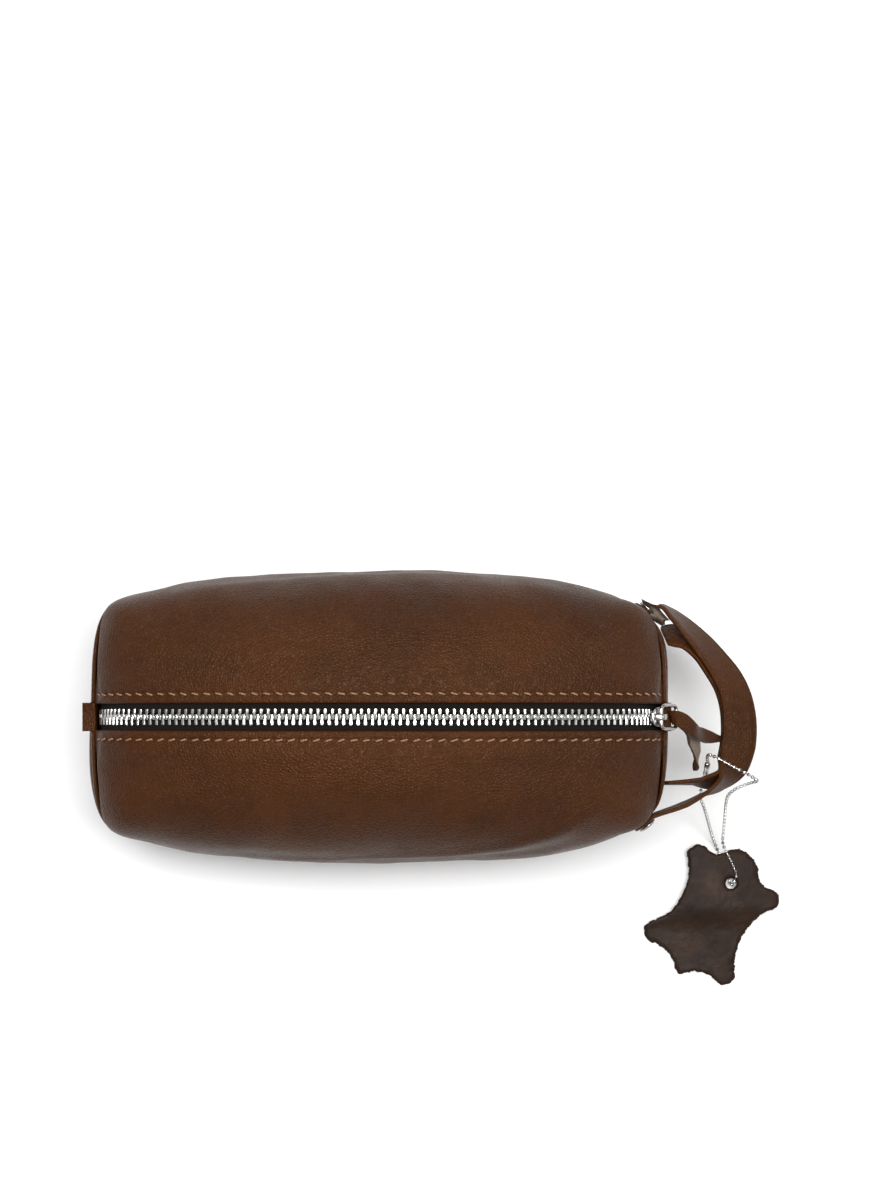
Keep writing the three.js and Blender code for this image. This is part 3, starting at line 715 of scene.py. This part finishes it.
# ---------------------------------------------------------------- repeated small parts
def strew_tree(name):
    """A node tree that sets copies of one shape along a path, standing on its stored 'up' directions."""
    tree = bpy.data.node_groups.new(name, "GeometryNodeTree")
    face = tree.interface
    face.new_socket("Geometry", in_out="OUTPUT", socket_type="NodeSocketGeometry")
    sockets = {}
    for label, kind, value in (
        ("Geometry", "NodeSocketGeometry", None),
        ("Shape", "NodeSocketObject", None),
        ("Spacing", "NodeSocketFloat", 0.003),
        ("Slant", "NodeSocketFloat", 0.0),
        ("Unevenness", "NodeSocketFloat", 0.02),
        ("Seed", "NodeSocketInt", 3),
        ("Material", "NodeSocketMaterial", None),
    ):
        socket = face.new_socket(label, in_out="INPUT", socket_type=kind)
        if value is not None:
            socket.default_value = value
        sockets[label] = socket.identifier

    def node(kind, inputs=(), **settings):
        made = tree.nodes.new(kind)
        for key, value in settings.items():
            setattr(made, key, value)
        for key, value in dict(inputs).items():
            if isinstance(value, bpy.types.NodeSocket):
                tree.links.new(value, made.inputs[key])
            else:
                made.inputs[key].default_value = value
        return made

    given = node("NodeGroupInput").outputs
    curve = node("GeometryNodeMeshToCurve", {"Mesh": given["Geometry"]}).outputs[0]
    even = node(
        "GeometryNodeResampleCurve", {"Curve": curve, "Length": given["Spacing"]}, mode="LENGTH"
    ).outputs[0]
    up = node(
        "GeometryNodeInputNamedAttribute", {"Name": "up"}, data_type="FLOAT_VECTOR"
    ).outputs["Attribute"]
    run = node("GeometryNodeInputTangent").outputs[0]
    raised = node("FunctionNodeAlignRotationToVector", {"Vector": up}, axis="Z").outputs[0]
    turned = node(
        "FunctionNodeAlignRotationToVector", {"Rotation": raised, "Vector": run}, axis="X", pivot_axis="Z"
    ).outputs[0]
    spread = node("ShaderNodeMath", {0: given["Unevenness"], 1: -1.0}, operation="MULTIPLY").outputs[0]
    jitter = node(
        "FunctionNodeRandomValue",
        {2: spread, 3: given["Unevenness"], "Seed": given["Seed"]},
        data_type="FLOAT",
    ).outputs[1]
    angle = node("ShaderNodeMath", {0: given["Slant"], 1: jitter}, operation="ADD").outputs[0]
    tilt = node("FunctionNodeAxisAngleToRotation", {"Axis": (0, 0, 1), "Angle": angle}).outputs[0]
    final = node(
        "FunctionNodeRotateRotation", {"Rotation": turned, "Rotate By": tilt}, rotation_space="LOCAL"
    ).outputs[0]
    shape = node("GeometryNodeObjectInfo", {"Object": given["Shape"]}).outputs["Geometry"]
    copies = node(
        "GeometryNodeInstanceOnPoints", {"Points": even, "Instance": shape, "Rotation": final}
    ).outputs[0]
    real = node("GeometryNodeRealizeInstances", {"Geometry": copies}).outputs[0]
    done = node("GeometryNodeSetMaterial", {"Geometry": real, "Material": given["Material"]}).outputs[0]
    node("NodeGroupOutput", {"Geometry": done})
    return tree, sockets


strew, strew_inputs = strew_tree("set_along_path")


def path_mesh(name, path, up):
    """An open polyline carrying the direction each copy stands in."""
    mesh = bpy.data.meshes.new(name)
    mesh.from_pydata([tuple(p) for p in path * MM], [(i, i + 1) for i in range(len(path) - 1)], [])
    stored = mesh.attributes.new("up", "FLOAT_VECTOR", "POINT")
    stored.data.foreach_set("vector", np.asarray(up, np.float32).ravel())
    return mesh


def set_along(name, path, up, shape, material, spacing, slant=0.0, unevenness=0.02, seed=3, flat=40):
    """Copies of a shape every so many millimetres along a path, as one plain mesh."""
    obj = bpy.data.objects.new(name, path_mesh(name, path, up))
    bpy.context.scene.collection.objects.link(obj)
    repeat = obj.modifiers.new("set_along_path", "NODES")
    repeat.node_group = strew
    for label, value in (
        ("Shape", shape), ("Spacing", spacing * MM), ("Slant", math.radians(slant)),
        ("Unevenness", unevenness), ("Seed", seed), ("Material", material),
    ):
        repeat[strew_inputs[label]] = value
    obj.update_tag()
    bpy.context.view_layer.update()
    mesh = bpy.data.meshes.new_from_object(obj.evaluated_get(bpy.context.evaluated_depsgraph_get()))
    obj.modifiers.clear()
    obj.data = mesh
    mesh.shade_smooth()
    mesh.set_sharp_from_angle(angle=math.radians(flat))
    return obj


def small_shape(name, rings):
    """A shape to be copied, made once in its own millimetres and kept out of the picture."""
    obj = sweep(name, rings, None)
    obj.hide_render = True
    return obj


def drop(*objects):
    for obj in objects:
        bpy.data.objects.remove(obj, do_unlink=True)


# ---------------------------------------------------------------- stitches
def stitch_shape():
    """One visible dash of thread, dipping into the leather at both ends."""
    rings = []
    for x, z, r in (
        (-1.6, -0.6, 0.12), (-1.5, -0.3, 0.28), (-1.15, 0.0, 0.33), (-0.5, 0.14, 0.36), (0.5, 0.14, 0.36),
        (1.15, 0.0, 0.33), (1.5, -0.3, 0.28), (1.6, -0.6, 0.12),
    ):
        rings.append(
            [
                (
                    x, r * math.cos(a), z + r * math.sin(a)
                ) for a in np.linspace(0, 2 * math.pi, 8, endpoint=False)
            ]
        )
    return small_shape("stitch", rings)


stitch = stitch_shape()


def lip_stitches(name, side):
    s = np.linspace(STITCH_STEP / 2, seam_s[-1] - STITCH_STEP / 2, 900)
    u = np.interp(s, seam_s, seam_u)
    y = np.full_like(u, ZIP_HALF + STITCH_IN)
    p = by_zip(u, side * y)
    n = normals_of(p)
    out = relief(p, side, np.full_like(s, STITCH_STEP / 2), y) * (1 - smooth((np.abs(u) - 0.95) / 0.03))
    sunk = 1.2 * smooth((np.abs(u) - 0.93) / 0.05) * (1 - smooth((y - 13) / 8))
    path = p + n * (out - sunk + 0.12)[:, None]
    length = np.linalg.norm(np.diff(path, axis=0), axis=1).sum()
    dashes = set_along(
        name + "_lip_stitches",
        path,
        n,
        stitch,
        thread,
        length / (STITCHES - 1) * 0.99999,
        -14 * side,
        0.09,
        11 + side,
    )
    blend_lip(dashes)


for label, side in (("front", -1), ("back", 1)):
    lip_stitches(label, side)


# ---------------------------------------------------------------- zip
TEETH = int((2 * (HALF_RUN - 2.4)) / TOOTH_PITCH / 2) * 2
LAST = TEETH / 2 * TOOTH_PITCH


def tooth_ring(y, half, height, drop_mid=0.0):
    c = 0.28
    x, z = half, height
    return [
        (-x, y, -z + c), (-x + c, y, -z), (x - c, y, -z), (x, y, -z + c),
        (x, y, z - c), (x - c, y, z - drop_mid), (-x + c, y, z - drop_mid), (-x, y, z - c),
    ]


tooth = small_shape("tooth", [
    tooth_ring(
        3.55, 0.42, 0.95
    ), tooth_ring(3.35, 0.62, 1.2), tooth_ring(1.75, 0.66, 1.25), tooth_ring(1.15, 0.5, 1.15),
    tooth_ring(0.35, 0.6, 1.05), tooth_ring(0.0, 0.7, 1.0, 0.12), tooth_ring(
        -0.75, 0.68, 0.98, 0.12
    ), tooth_ring(-1.15, 0.4, 0.8),
])


def zip_half(name, side):
    # the tape: woven cloth with a cord along its inner edge
    ys = np.array([1.9, 2.2, 2.8, 3.3, 3.6, 4.4, 5.4, 6.4, 8.0, 10.0, 12.0])
    half = np.array([0.35, 0.72, 0.8, 0.55, 0.32, 0.3, 0.3, 0.3, 0.3, 0.3, 0.3])
    s = ease(np.linspace(-1, 1, 240)) * (HALF_RUN - 0.4)
    sink = zip_sink(s)
    top = np.array([zip_map(s, side * y, 2.2 + sink - h) for y, h in zip(ys, half)])
    low = np.array([zip_map(s, side * y, 2.2 + sink + h) for y, h in zip(ys, half)])
    tape = hide("zip_tape_" + name + "_cloth", top, low, tape_cloth)
    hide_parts("zip_tape_" + name)
    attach(tape, name + "_lip")
    # the teeth, standing half a pitch apart from the other side's
    shift = 0.0 if side < 0 else 0.5
    s = np.linspace(-LAST + shift * TOOTH_PITCH, -LAST + (TEETH - 1 + shift) * TOOTH_PITCH, 900)
    path = zip_map(s, 0, 2.2 + zip_sink(s))
    up = normals_of(by_zip(u_at(s), np.zeros_like(s)))
    if side < 0:
        path, up = path[::-1], up[::-1]
    length = np.linalg.norm(np.diff(path, axis=0), axis=1).sum()
    row = set_along(
        "zip_teeth_" + name + "_row",
        path,
        up,
        tooth,
        teeth_metal,
        length / (TEETH - 1) * 0.99999,
        0,
        0.012,
        5 + side,
    )
    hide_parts("zip_teeth_" + name)
    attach(row, name + "_lip")


for label, side in (("front", -1), ("back", 1)):
    zip_half(label, side)


def slab_on_zip(name, outline, top, low, material, middle=0.0, edge=0.3):
    """A plate with rounded edges that follows the zip line; outline holds (along, across) points."""
    pts = np.array(outline, float)
    centre = pts.mean(0)
    rings = []
    for depth, inset in (
        (low, edge),
        (low - edge * 0.3, edge * 0.3),
        (low - edge, 0),
        (top + edge, 0),
        (top + edge * 0.3, edge * 0.3),
        (top, edge),
    ):
        d = pts - centre
        r = np.linalg.norm(d, axis=1, keepdims=True)
        q = centre + d * (1 - inset / r)
        rings.append(zip_map(middle + q[:, 0], q[:, 1], depth + zip_sink(middle + q[:, 0])))
    return sweep(name, rings, material)


def joined(name, *pieces):
    """One mesh out of several."""
    mesh = bpy.data.meshes.new(name)
    bm = bmesh.new()
    materials = []
    for piece in pieces:
        start = len(bm.faces)
        bm.from_mesh(piece.data)
        bm.faces.ensure_lookup_table()
        for material in piece.data.materials:
            if material not in materials:
                materials.append(material)
        index = materials.index(piece.data.materials[0])
        for face in bm.faces[start:]:
            face.material_index = index
    bm.to_mesh(mesh)
    bm.free()
    for material in materials:
        mesh.materials.append(material)
    obj = bpy.data.objects.new(name, mesh)
    bpy.context.scene.collection.objects.link(obj)
    drop(*pieces)
    return obj


SLIDER_S = HALF_RUN - 7
shield = []
for k in range(40):
    a = 2 * math.pi * k / 40
    x, y = math.cos(a), math.sin(a)
    width = 3.7 + 1.3 * float(smooth((x + 0.6) / 1.2))
    shield.append((0.4 + 5.9 * math.copysign(abs(x) ** 0.55, x), width * math.copysign(abs(y) ** 0.5, y)))
slider_at = zip_map(SLIDER_S, 0, zip_sink(SLIDER_S))
slider_n = normals_of(by_zip(u_at(np.array([SLIDER_S])), np.zeros(1)))[0]
slider_t = np.array([slider_n[2], 0, -slider_n[0]])
PIN = slider_at + slider_n * 2.6


def arch():
    pts = [
        (-3.9, 0.0, 0.2),
        (-3.5, 0.0, 2.6),
        (-2.2, 0.0, 4.35),
        (0, 0.0, 4.75),
        (2.2, 0.0, 4.35),
        (3.5, 0.0, 2.6),
        (3.9, 0.0, 0.2),
    ]
    path = spline(pts, 32)
    t = tangents(path)
    rings = []
    for p, d in zip(path, t):
        n = np.array([-d[2], 0, d[0]])
        ring = []
        for a in np.linspace(0, 2 * math.pi, 14, endpoint=False):
            cy, cn = math.cos(a), math.sin(a)
            q = p + np.array(
                [0, 1.25 * math.copysign(abs(cy) ** 0.6, cy), 0]
            ) + n * 0.5 * math.copysign(abs(cn) ** 0.6, cn)
            ring.append(slider_at + slider_t * q[0] + np.array([0, q[1], 0]) + slider_n * q[2])
        rings.append(ring)
    return sweep("slider_arch", rings, bright_metal)


post = [(1.0 * math.cos(a) + 5.2, 1.2 * math.sin(a)) for a in np.linspace(0, 2 * math.pi, 16, endpoint=False)]
slider = joined(
    "slider_casting",
    slab_on_zip("slider_top", shield, -1.1, 0.5, bright_metal, SLIDER_S, 0.45),
    slab_on_zip("slider_low", shield, 3.9, 5.0, bright_metal, SLIDER_S, 0.35),
    slab_on_zip("slider_post", post, -0.3, 4.3, bright_metal, SLIDER_S, 0.2),
    arch(),
)
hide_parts("slider_body")
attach(slider, "slider")

# ---------------------------------------------------------------- puller ring and lace
hang_turn = math.radians(-14)
HANG = np.array([
    slider_t[0] * math.cos(hang_turn) + slider_t[2] * math.sin(hang_turn), 0,
    -slider_t[0] * math.sin(hang_turn) + slider_t[2] * math.cos(hang_turn),
])
ring_pts = [
    (0, -3.9),
    (0, 0),
    (0, 3.9),
    (1.2, 4.9),
    (5, 5),
    (8.8, 4.9),
    (10, 3.9),
    (10, 0),
    (10, -3.9),
    (8.8, -4.9),
    (5, -5),
    (1.2, -4.9),
]
ring_path = spline([PIN + HANG * a + np.array([0, y, 0]) for a, y in ring_pts], 96, True)
ring = tube("puller_link", ring_path, 0.88, 16, bright_metal, True)
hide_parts("puller_ring")
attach(ring, "puller")

BAR = PIN + HANG * 10
lace_pts = [
    (14.8, -24.5, 43.5), (15.5, -19.5, 46.5), (14.2, -14, 51.5), (11, -9, 58), (6.6, -3.6, BAR[2] - 5.4),
]
tail_pts = [
    (5.6, -2.4, BAR[2] + 0.5), (10.5, -6, BAR[2] - 4.6), (16.5, -8.2, 55.5), (23, -9.6, 51), (28, -10.4, 48.5)
]
wrap_pts = [BAR + np.array(q) for q in ((0.4, -0.4, -2.2), (-2, -0.3, -0.1), (0.2, -0.4, 2.1))]
lace_path = spline(
    [
        *(np.array(q) + (HALF_L, 0, 0) for q in lace_pts),
        *wrap_pts,
        *(np.array(q) + (HALF_L, 0, 0) for q in tail_pts),
    ], 180
)


def band(name, path, normal, widths, thick, material, under=None, crease=0.0):
    """A leather strip with rounded edges; its flat face points along normal."""
    t = tangents(path)
    half = thick / 2
    across = np.array(
        [-1, -0.985, -0.95, -0.90, -0.86, -0.82, -0.5, 0, 0.5, 0.82, 0.86, 0.90, 0.95, 0.985, 1]
    )
    lift = np.array([0, 0.75, 1, 1, 1 - crease, 1, 1, 1, 1, 1, 1 - crease, 1, 1, 0.75, 0])
    rings = []
    for p, d, n, w in zip(path, t, normal, widths):
        n = unit(n - d * np.dot(n, d))
        side = np.cross(d, n)
        top = [p + side * (w / 2 * a) + n * (half * h) for a, h in zip(across, lift)]
        low = [
            p + side * (w / 2 * a) - n * (half * min(1, h + crease))
            for a, h in zip(across[1:-1][::-1], lift[1:-1][::-1])
        ]
        rings.append(top + low)
    obj = sweep(name, rings, material)
    if under:
        obj.data.materials.append(under)
        m = len(rings[0])
        spots = np.arange(m)
        below = set(spots[len(across):].tolist())
        for face in obj.data.polygons:
            ids = {v % m for v in face.vertices}
            if len(face.vertices) == 4 and ids <= below:
                face.material_index = 1
    return obj


def lace():
    n = len(lace_path)
    k = np.arange(n) / (n - 1)
    t = tangents(lace_path)
    side = unit(np.array([0, 1, 0]) - t * t[:, 1:2])
    normal = np.cross(t, side)
    width = np.full(n, 6.4)
    for at_end, long in ((k, 0.045), (1 - k, 0.13)):
        d = np.clip(at_end / long, 0, 1)
        width *= np.where(at_end < long, 0.06 + 0.94 * d ** 0.6, 1)
    width *= 1 + 0.12 * np.exp(-(((k - 0.83) / 0.06) ** 2))
    width += 0.22 * np.sin(37 * k) + 0.12 * np.sin(91 * k)
    curl = 0.35 * np.sin(9 * k)[:, None] * side
    return band("lace", lace_path, normal + curl, width, 1.35, strap_leather, flesh, 0.12)


thong = lace()
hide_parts("pull_thong")
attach(thong, "puller")

# ---------------------------------------------------------------- handle
strap_line = np.array([
    [-4.3, 48.6, 1, 8], [1.1, 45.2, 1, 20], [8.4, 38.6, 0.6, 33], [15.6, 31.2, 0, 43],
    [21.9, 23.6, -0.6, 50], [27.3, 15.8, -1.2, 58], [30.7, 7.4, -1.8, 66], [32.3, -2.7, -2.4, 76],
    [31.9, -12.7, -2.6, 82], [29.2, -21.7, -2.4, 66], [23.7, -28.9, -1.6, 24], [15.6, -33.6, -0.6, 5],
    [6.5, -38.4, 0.4, 0], [-2.7, -43.6, 1, 0],
])


def corner_at(side, degrees, z):
    a = math.radians(degrees)
    return hit(vec(SPINE_X, 0, z), vec(math.cos(a), side * math.sin(a), 0))


def strap_core():
    """The handle's centre line, the level sideways direction and the outer face direction along it."""
    core = strap_line[:, :3] + (HALF_L, 0, STRAP_Z)
    t = tangents(core)
    turn = np.radians(strap_line[:, 3])[:, None]
    side = unit(vec(-t[:, 1], t[:, 0], 0))
    up = unit(np.array([0, 0, 1]) - t * t[:, 2:3])
    return core, side, side * np.cos(turn) + up * np.sin(turn)


def strap_frames():
    """Centre line and outer face direction along the whole outer strap."""
    core, _, normal = strap_core()
    lifted = core + normal * (STRAP_T / 2 + STRAP_GAP)
    ends = []
    for s, angles in ((1, (82.2, 79.4, RIVET_TURN, 73.4)), (-1, (73.0, RIVET_TURN, 79.4, 82.2))):
        p = np.array([corner_at(s, a, STRAP_Z) for a in angles])
        n = normals_of(p)
        ends.append((p + n * (STRAP_T / 2 + STRAP_GAP), n))
    path = np.vstack([ends[0][0], lifted[:-1], ends[1][0]])
    face = np.vstack([ends[0][1], normal[:-1], ends[1][1]])
    return path, face


def resampled(path, values, count):
    """An even curve through path, and the values carried along it."""
    fine = spline(path, count)
    s = np.concatenate([[0], np.cumsum(np.linalg.norm(np.diff(fine, axis=0), axis=1))])
    marks = []
    start = 0
    for p in path:
        k = start + int(np.argmin(np.linalg.norm(fine[start:] - p, axis=1)))
        marks.append(s[k])
        start = k
    return fine, np.stack([np.interp(s, marks, values[:, k]) for k in range(values.shape[1])], -1), s


def outer_strap():
    path, face = strap_frames()
    fine, normal, s = resampled(path, face, 260)
    length = s[-1]
    near = np.minimum(s, length - s)
    width = STRAP_W * np.where(near < 7.5, np.sqrt(np.clip(1 - (1 - near / 7.5) ** 2, 0.0004, 1)), 1)
    width = width * (1 + 0.012 * np.sin(s / 9)) + 0.1
    return band("handle_outer_leather", fine, normal, width, STRAP_T, strap_leather, flesh, 0.35)


outer = outer_strap()
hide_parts("handle_outer_strap", "strap_end_front", "strap_end_back")
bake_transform(outer)


def inner_strap():
    core, side, normal = strap_core()
    k = np.linspace(0, 1, len(core))
    part = 8.5 * (1 - smooth(k / 0.24)) + 11.5 * smooth((k - 0.74) / 0.26)
    path = core - normal * (STRAP_T / 2 + STRAP_GAP) - side * part[:, None]
    keep = slice(2, 12)
    first = vec(HALF_L - 1.6, 36.5, STRAP_Z + 0.8)
    last = vec(HALF_L - 1.4, -29.6, STRAP_Z + 0.4)
    path = np.vstack([first, path[keep], last])
    face = np.vstack([side[1] * 0.9 + (0, 0, 0.35), normal[keep], side[12]])
    fine, normal, _ = resampled(path, face, 220)
    return band(
        "handle_inner_leather",
        fine,
        normal,
        np.full(len(fine), STRAP_W - 0.2),
        STRAP_T,
        strap_leather,
        flesh,
        0.35,
    )


inner = inner_strap()
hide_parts("handle_inner_strap")
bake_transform(inner)


def rivet(name, side):
    o = corner_at(side, RIVET_TURN, STRAP_Z)
    n = normals_of(o)
    ref = unit(np.array([0, 0, 1.0]) - n * n[2])
    other = np.cross(n, ref)
    rings = []
    for h, r in (
        (-3.6, 1.75), (2.55, 1.75), (2.5, 3.9), (2.6, 4.15), (2.9, 4.25), (3.2, 4.1),
        (3.45, 3.7), (3.7, 3.0), (3.86, 2.0), (3.93, 1.0), (3.95, 0.25),
    ):
        a = np.linspace(0, 2 * math.pi, 40, endpoint=False)[:, None]
        rings.append(o + n * h + r * (ref * np.cos(a) + other * np.sin(a)))
    cap = sweep(name + "_rivet_cap", rings, bright_metal)
    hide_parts("strap_rivet_" + name)
    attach(cap, "bag")


for label, side in (("front", -1), ("back", 1)):
    rivet(label, side)

# ---------------------------------------------------------------- ball chain
CHAIN = [
    (149.6, -27.5, 42), (148.6, -31.5, 39.5), (148.3, -36.7, 35.5), (150.6, -41.2, 30.5), (153.3, -46.5, 24),
    (155.6, -51, 17), (158.4, -56.5, 9), (161.6, -62.5, 3), (164.6, -69, 1.2), (167.2, -75.3, 1.2),
    (168.1, -78.9, 1.9), (168.4, -80.3, 3.9), (168.9, -79.3, 5.8), (170.3, -75.9, 6.3), (169.1, -71.5, 6.2),
    (167.2, -67.3, 6.2), (165.2, -63.4, 6.1), (163.8, -60, 7.6), (163.1, -53.5, 13.5), (162.4, -46.8, 20.5),
    (161.5, -40.8, 28), (161.4, -36, 35.5), (164, -32.6, 43), (168, -30.2, 50), (170.2, -29, 56),
    (168.6, -27.8, 61.6), (163.6, -25, 64.8), (157, -21.6, 65.2), (151.4, -18.4, 63.8), (148.4, -17, 59.8),
    (148.5, -18.4, 53.5), (149.6, -20.6, 48.6),
]
chain_path = spline(CHAIN, 1400)
BEAD_STEP = 2.55


def bead_shape():
    """A hollow ball with the short pin that joins it to the next."""
    rings = []
    profile = [
        (-0.86, 0.16),
        (-0.74, 0.42),
        (-0.45, 0.74),
        (0, 0.87),
        (0.45, 0.74),
        (0.74, 0.42),
        (0.84, 0.2),
        (1.72, 0.2),
        (1.8, 0.08),
    ]
    for x, r in profile:
        rings.append(
            [(x, r * math.cos(a), r * math.sin(a)) for a in np.linspace(0, 2 * math.pi, 10, endpoint=False)]
        )
    return small_shape("bead", rings)


bead = bead_shape()
chain_up = np.tile(
    [0.0, 0.0, 1.0], (len(chain_path), 1)
) - tangents(chain_path) * tangents(chain_path)[:, 2:3]
chain_up = unit(chain_up + 1e-6)
beads = set_along("bead_chain", chain_path, chain_up, bead, bright_metal, BEAD_STEP, 0, 0.0, 1, 30)
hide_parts("ball_chain")
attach(beads, "chain")


def clasp():
    a, b = np.array(CHAIN[-1]), np.array(CHAIN[0])
    d = unit(b - a)
    long = np.linalg.norm(b - a)
    ref = unit(np.array([1.0, 0, 0]) - d * d[0])
    other = np.cross(d, ref)
    rings = []
    for h, r in (
        (0.1, 0.5),
        (0.3, 1.0),
        (0.8, 1.35),
        (long * 0.35, 1.42),
        (long * 0.5, 1.15),
        (long * 0.65, 1.42),
        (long - 0.8, 1.35),
        (long - 0.3, 1.0),
        (long - 0.1, 0.5),
    ):
        t = np.linspace(0, 2 * math.pi, 24, endpoint=False)[:, None]
        rings.append(a + d * h + r * (ref * np.cos(t) + other * np.sin(t)))
    return sweep("chain_clasp", rings, bright_metal)


snap = clasp()
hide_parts("chain_connector")
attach(snap, "chain")

# ---------------------------------------------------------------- hide tag
TAG_AT = np.array([168.3, -79.6])
TAG_T = 2.0
TAG_OUTLINE = [
    (
        -20.6, 15.5
    ), (-15.8, 18.7), (-12, 17.5), (-8.6, 14.6), (-5.5, 14.1), (-1.5, 15.5), (2.3, 16.5), (6.2, 15.5),
    (10.5, 11.7), (12.9, 7.4), (13.3, 2.6), (15.7, -1.2), (21.5, -4.1), (23.1, -7.4), (
        21.9, -11.2
    ), (15.7, -14.1),
    (
        10.5, -19.3
    ), (6.2, -25.1), (3.8, -30.3), (2.3, -37), (2.3, -42.3), (1.9, -46.4), (-3.1, -49), (-5.5, -48),
    (-10.1, -44), (
        -16.8, -42.3
    ), (-21.6, -43.2), (-24.4, -43.7), (-25.9, -41.8), (-27.3, -37), (-30.2, -32.7),
    (
        -34.9, -29.4
    ), (-39.2, -27.5), (-41.2, -22.7), (-40.7, -20.3), (-37.3, -17.9), (-29.2, -13.8), (-25.4, -9.1),
    (-21.6, -1.2), (-20.1, 5), (-20.6, 11.7),
]


def inside(points, loop):
    """Which points lie inside a closed outline."""
    x, y = points[:, 0], points[:, 1]
    found = np.zeros(len(points), bool)
    for a, b in zip(loop, np.roll(loop, -1, 0)):
        crosses = (a[1] > y) != (b[1] > y)
        found ^= crosses & (x < (b[0] - a[0]) * (y - a[1]) / (b[1] - a[1] + 1e-12) + a[0])
    return found


def tag_piece():
    from mathutils.geometry import delaunay_2d_cdt

    rim = spline([(x, y, 0) for x, y in TAG_OUTLINE], 340, True)[:, :2]
    t = unit(np.roll(rim, -1, 0) - np.roll(rim, 1, 0))
    k = np.arange(len(rim))
    wobble = 0.16 * np.sin(k * 0.9) + 0.12 * np.sin(k * 2.3 + 1) + 0.12 * RNG.standard_normal(len(rim))
    rim = rim + np.stack([-t[:, 1], t[:, 0]], -1) * wobble[:, None]
    a = np.linspace(0, 2 * math.pi, 30, endpoint=False)
    hole = np.stack([2.6 * np.cos(a), 2.6 * np.sin(a)], -1)
    gx, gy = np.meshgrid(np.arange(-42, 24, 1.15), np.arange(-50, 20, 1.15))
    grid = np.stack([gx.ravel(), gy.ravel()], -1) + RNG.uniform(-0.25, 0.25, (gx.size, 2))
    far = np.min(np.linalg.norm(grid[:, None] - rim[None], axis=-1), axis=1) > 0.85
    grid = grid[inside(grid, rim) & far & (np.linalg.norm(grid, axis=1) > 3.5)]
    flat = np.vstack([rim, hole, grid])
    n = len(rim)
    edges = [(i, (i + 1) % n) for i in range(n)] + [
        (n + i, n + (i + 1) % len(hole)) for i in range(len(hole))
    ]
    verts, _, faces, *_ = delaunay_2d_cdt([Vector(p) for p in flat], edges, [], 0, 1e-5)
    p = np.array([tuple(v) for v in verts])
    faces = np.array([f for f in faces])
    middle = p[faces].mean(1)
    faces = faces[inside(middle, rim) & ~inside(middle, hole)]
    x, y = p[:, 0], p[:, 1]
    edge = np.zeros(len(p))
    edge[: n + len(hole)] = 1
    wave = 0.35 * np.sin(0.16 * x + 0.7) * np.sin(0.13 * y) + 0.14 * np.sin(0.45 * x + 0.3 * y)
    depth = np.min(np.linalg.norm(p[:, None] - rim[None], axis=-1), axis=1)
    low = 0.15 + 2.9 * smooth((y + 24) / 14) + np.maximum(0, wave + 0.35) * smooth(depth / 6)
    curl = 0.5 * (1 - smooth(depth / 4)) * smooth((np.sin(0.21 * x + 0.17 * y) + 0.2) / 1.2)
    fuzz = 0.07 * RNG.standard_normal(len(p))
    top = low + TAG_T - 0.25 - 0.55 * edge + fuzz + curl
    low = low + 0.3 * edge + curl
    world = p + TAG_AT
    count = len(p)
    points = np.vstack([vec(world[:, 0], world[:, 1], top), vec(world[:, 0], world[:, 1], low)])
    sides = [(i, (i + 1) % n) for i in range(n)] + [
        (n + i, n + (i + 1) % len(hole)) for i in range(len(hole))
    ]
    every = [tuple(f) for f in faces] + [tuple(f[::-1] + count) for f in faces] + [
        (a, b, b + count, a + count) for a, b in sides
    ]
    return mesh_piece("hide_shaped_tag", points, every, tag_leather)


tag = tag_piece()
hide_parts("hide_tag")
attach(tag, "tag")

# ---------------------------------------------------------------- CAD pieces that stay
KEPT = {
    "base_board": board,
    "lining_tub": lining_cloth, "lip_lining_front": lining_cloth, "lip_lining_back": lining_cloth,
    "zip_bottom_stop": bright_metal, "zip_top_stop_front": bright_metal, "zip_top_stop_back": bright_metal,
    "rivet_washer_front": bright_metal, "rivet_washer_back": bright_metal,
    "zip_end_tab_left": leather, "zip_end_tab_right": leather,
}
for node, material in KEPT.items():
    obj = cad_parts[node]
    obj.data.materials.clear()
    obj.data.materials.append(material)

# ---------------------------------------------------------------- floor, light and camera


def set_stage():
    m = Shader("white_floor", (0.93, 0.93, 0.93), 0.7)
    m.set(**{"Specular IOR Level": 0.1})
    floor = mesh_piece(
        "floor",
        [(-4000, -4000, 0), (4000, -4000, 0), (4000, 4000, 0), (-4000, 4000, 0)],
        [(0, 1, 2, 3)],
        m.material,
        False,
    )
    world = bpy.data.worlds.new("studio")
    bpy.context.scene.world = world
    world.use_nodes = True
    back = world.node_tree.nodes["Background"]
    back.inputs["Color"].default_value = (1, 1, 1, 1)
    back.inputs["Strength"].default_value = 0.22
    for name, place, size, power in (
        ("overhead", (0.05, 0.16, 1.35), (1.3, 0.45), 24.0),
        ("front", (-0.1, -1.1, 1.0), (1.2, 0.5), 2.4),
        ("back", (0.2, 1.2, 0.9), (1.2, 0.5), 2.6),
        ("right", (1.3, 0.1, 0.8), (0.5, 0.9), 1.6),
    ):
        data = bpy.data.lights.new(name, "AREA")
        data.shape = "RECTANGLE"
        data.size, data.size_y = size
        data.energy = power
        lamp = bpy.data.objects.new(name, data)
        lamp.location = place
        lamp.rotation_euler = (Vector((0, 0, 0.06)) - lamp.location).to_track_quat("-Z", "Y").to_euler()
        bpy.context.scene.collection.objects.link(lamp)
    data = bpy.data.cameras.new("camera")
    data.lens = 57.15
    data.shift_x, data.shift_y = 0.0575, 0.0975
    camera = bpy.data.objects.new("camera", data)
    camera.location = (0, 0, 0.915)
    bpy.context.scene.collection.objects.link(camera)
    bpy.context.scene.camera = camera
    bpy.context.scene.view_settings.view_transform = "Standard"


set_stage()
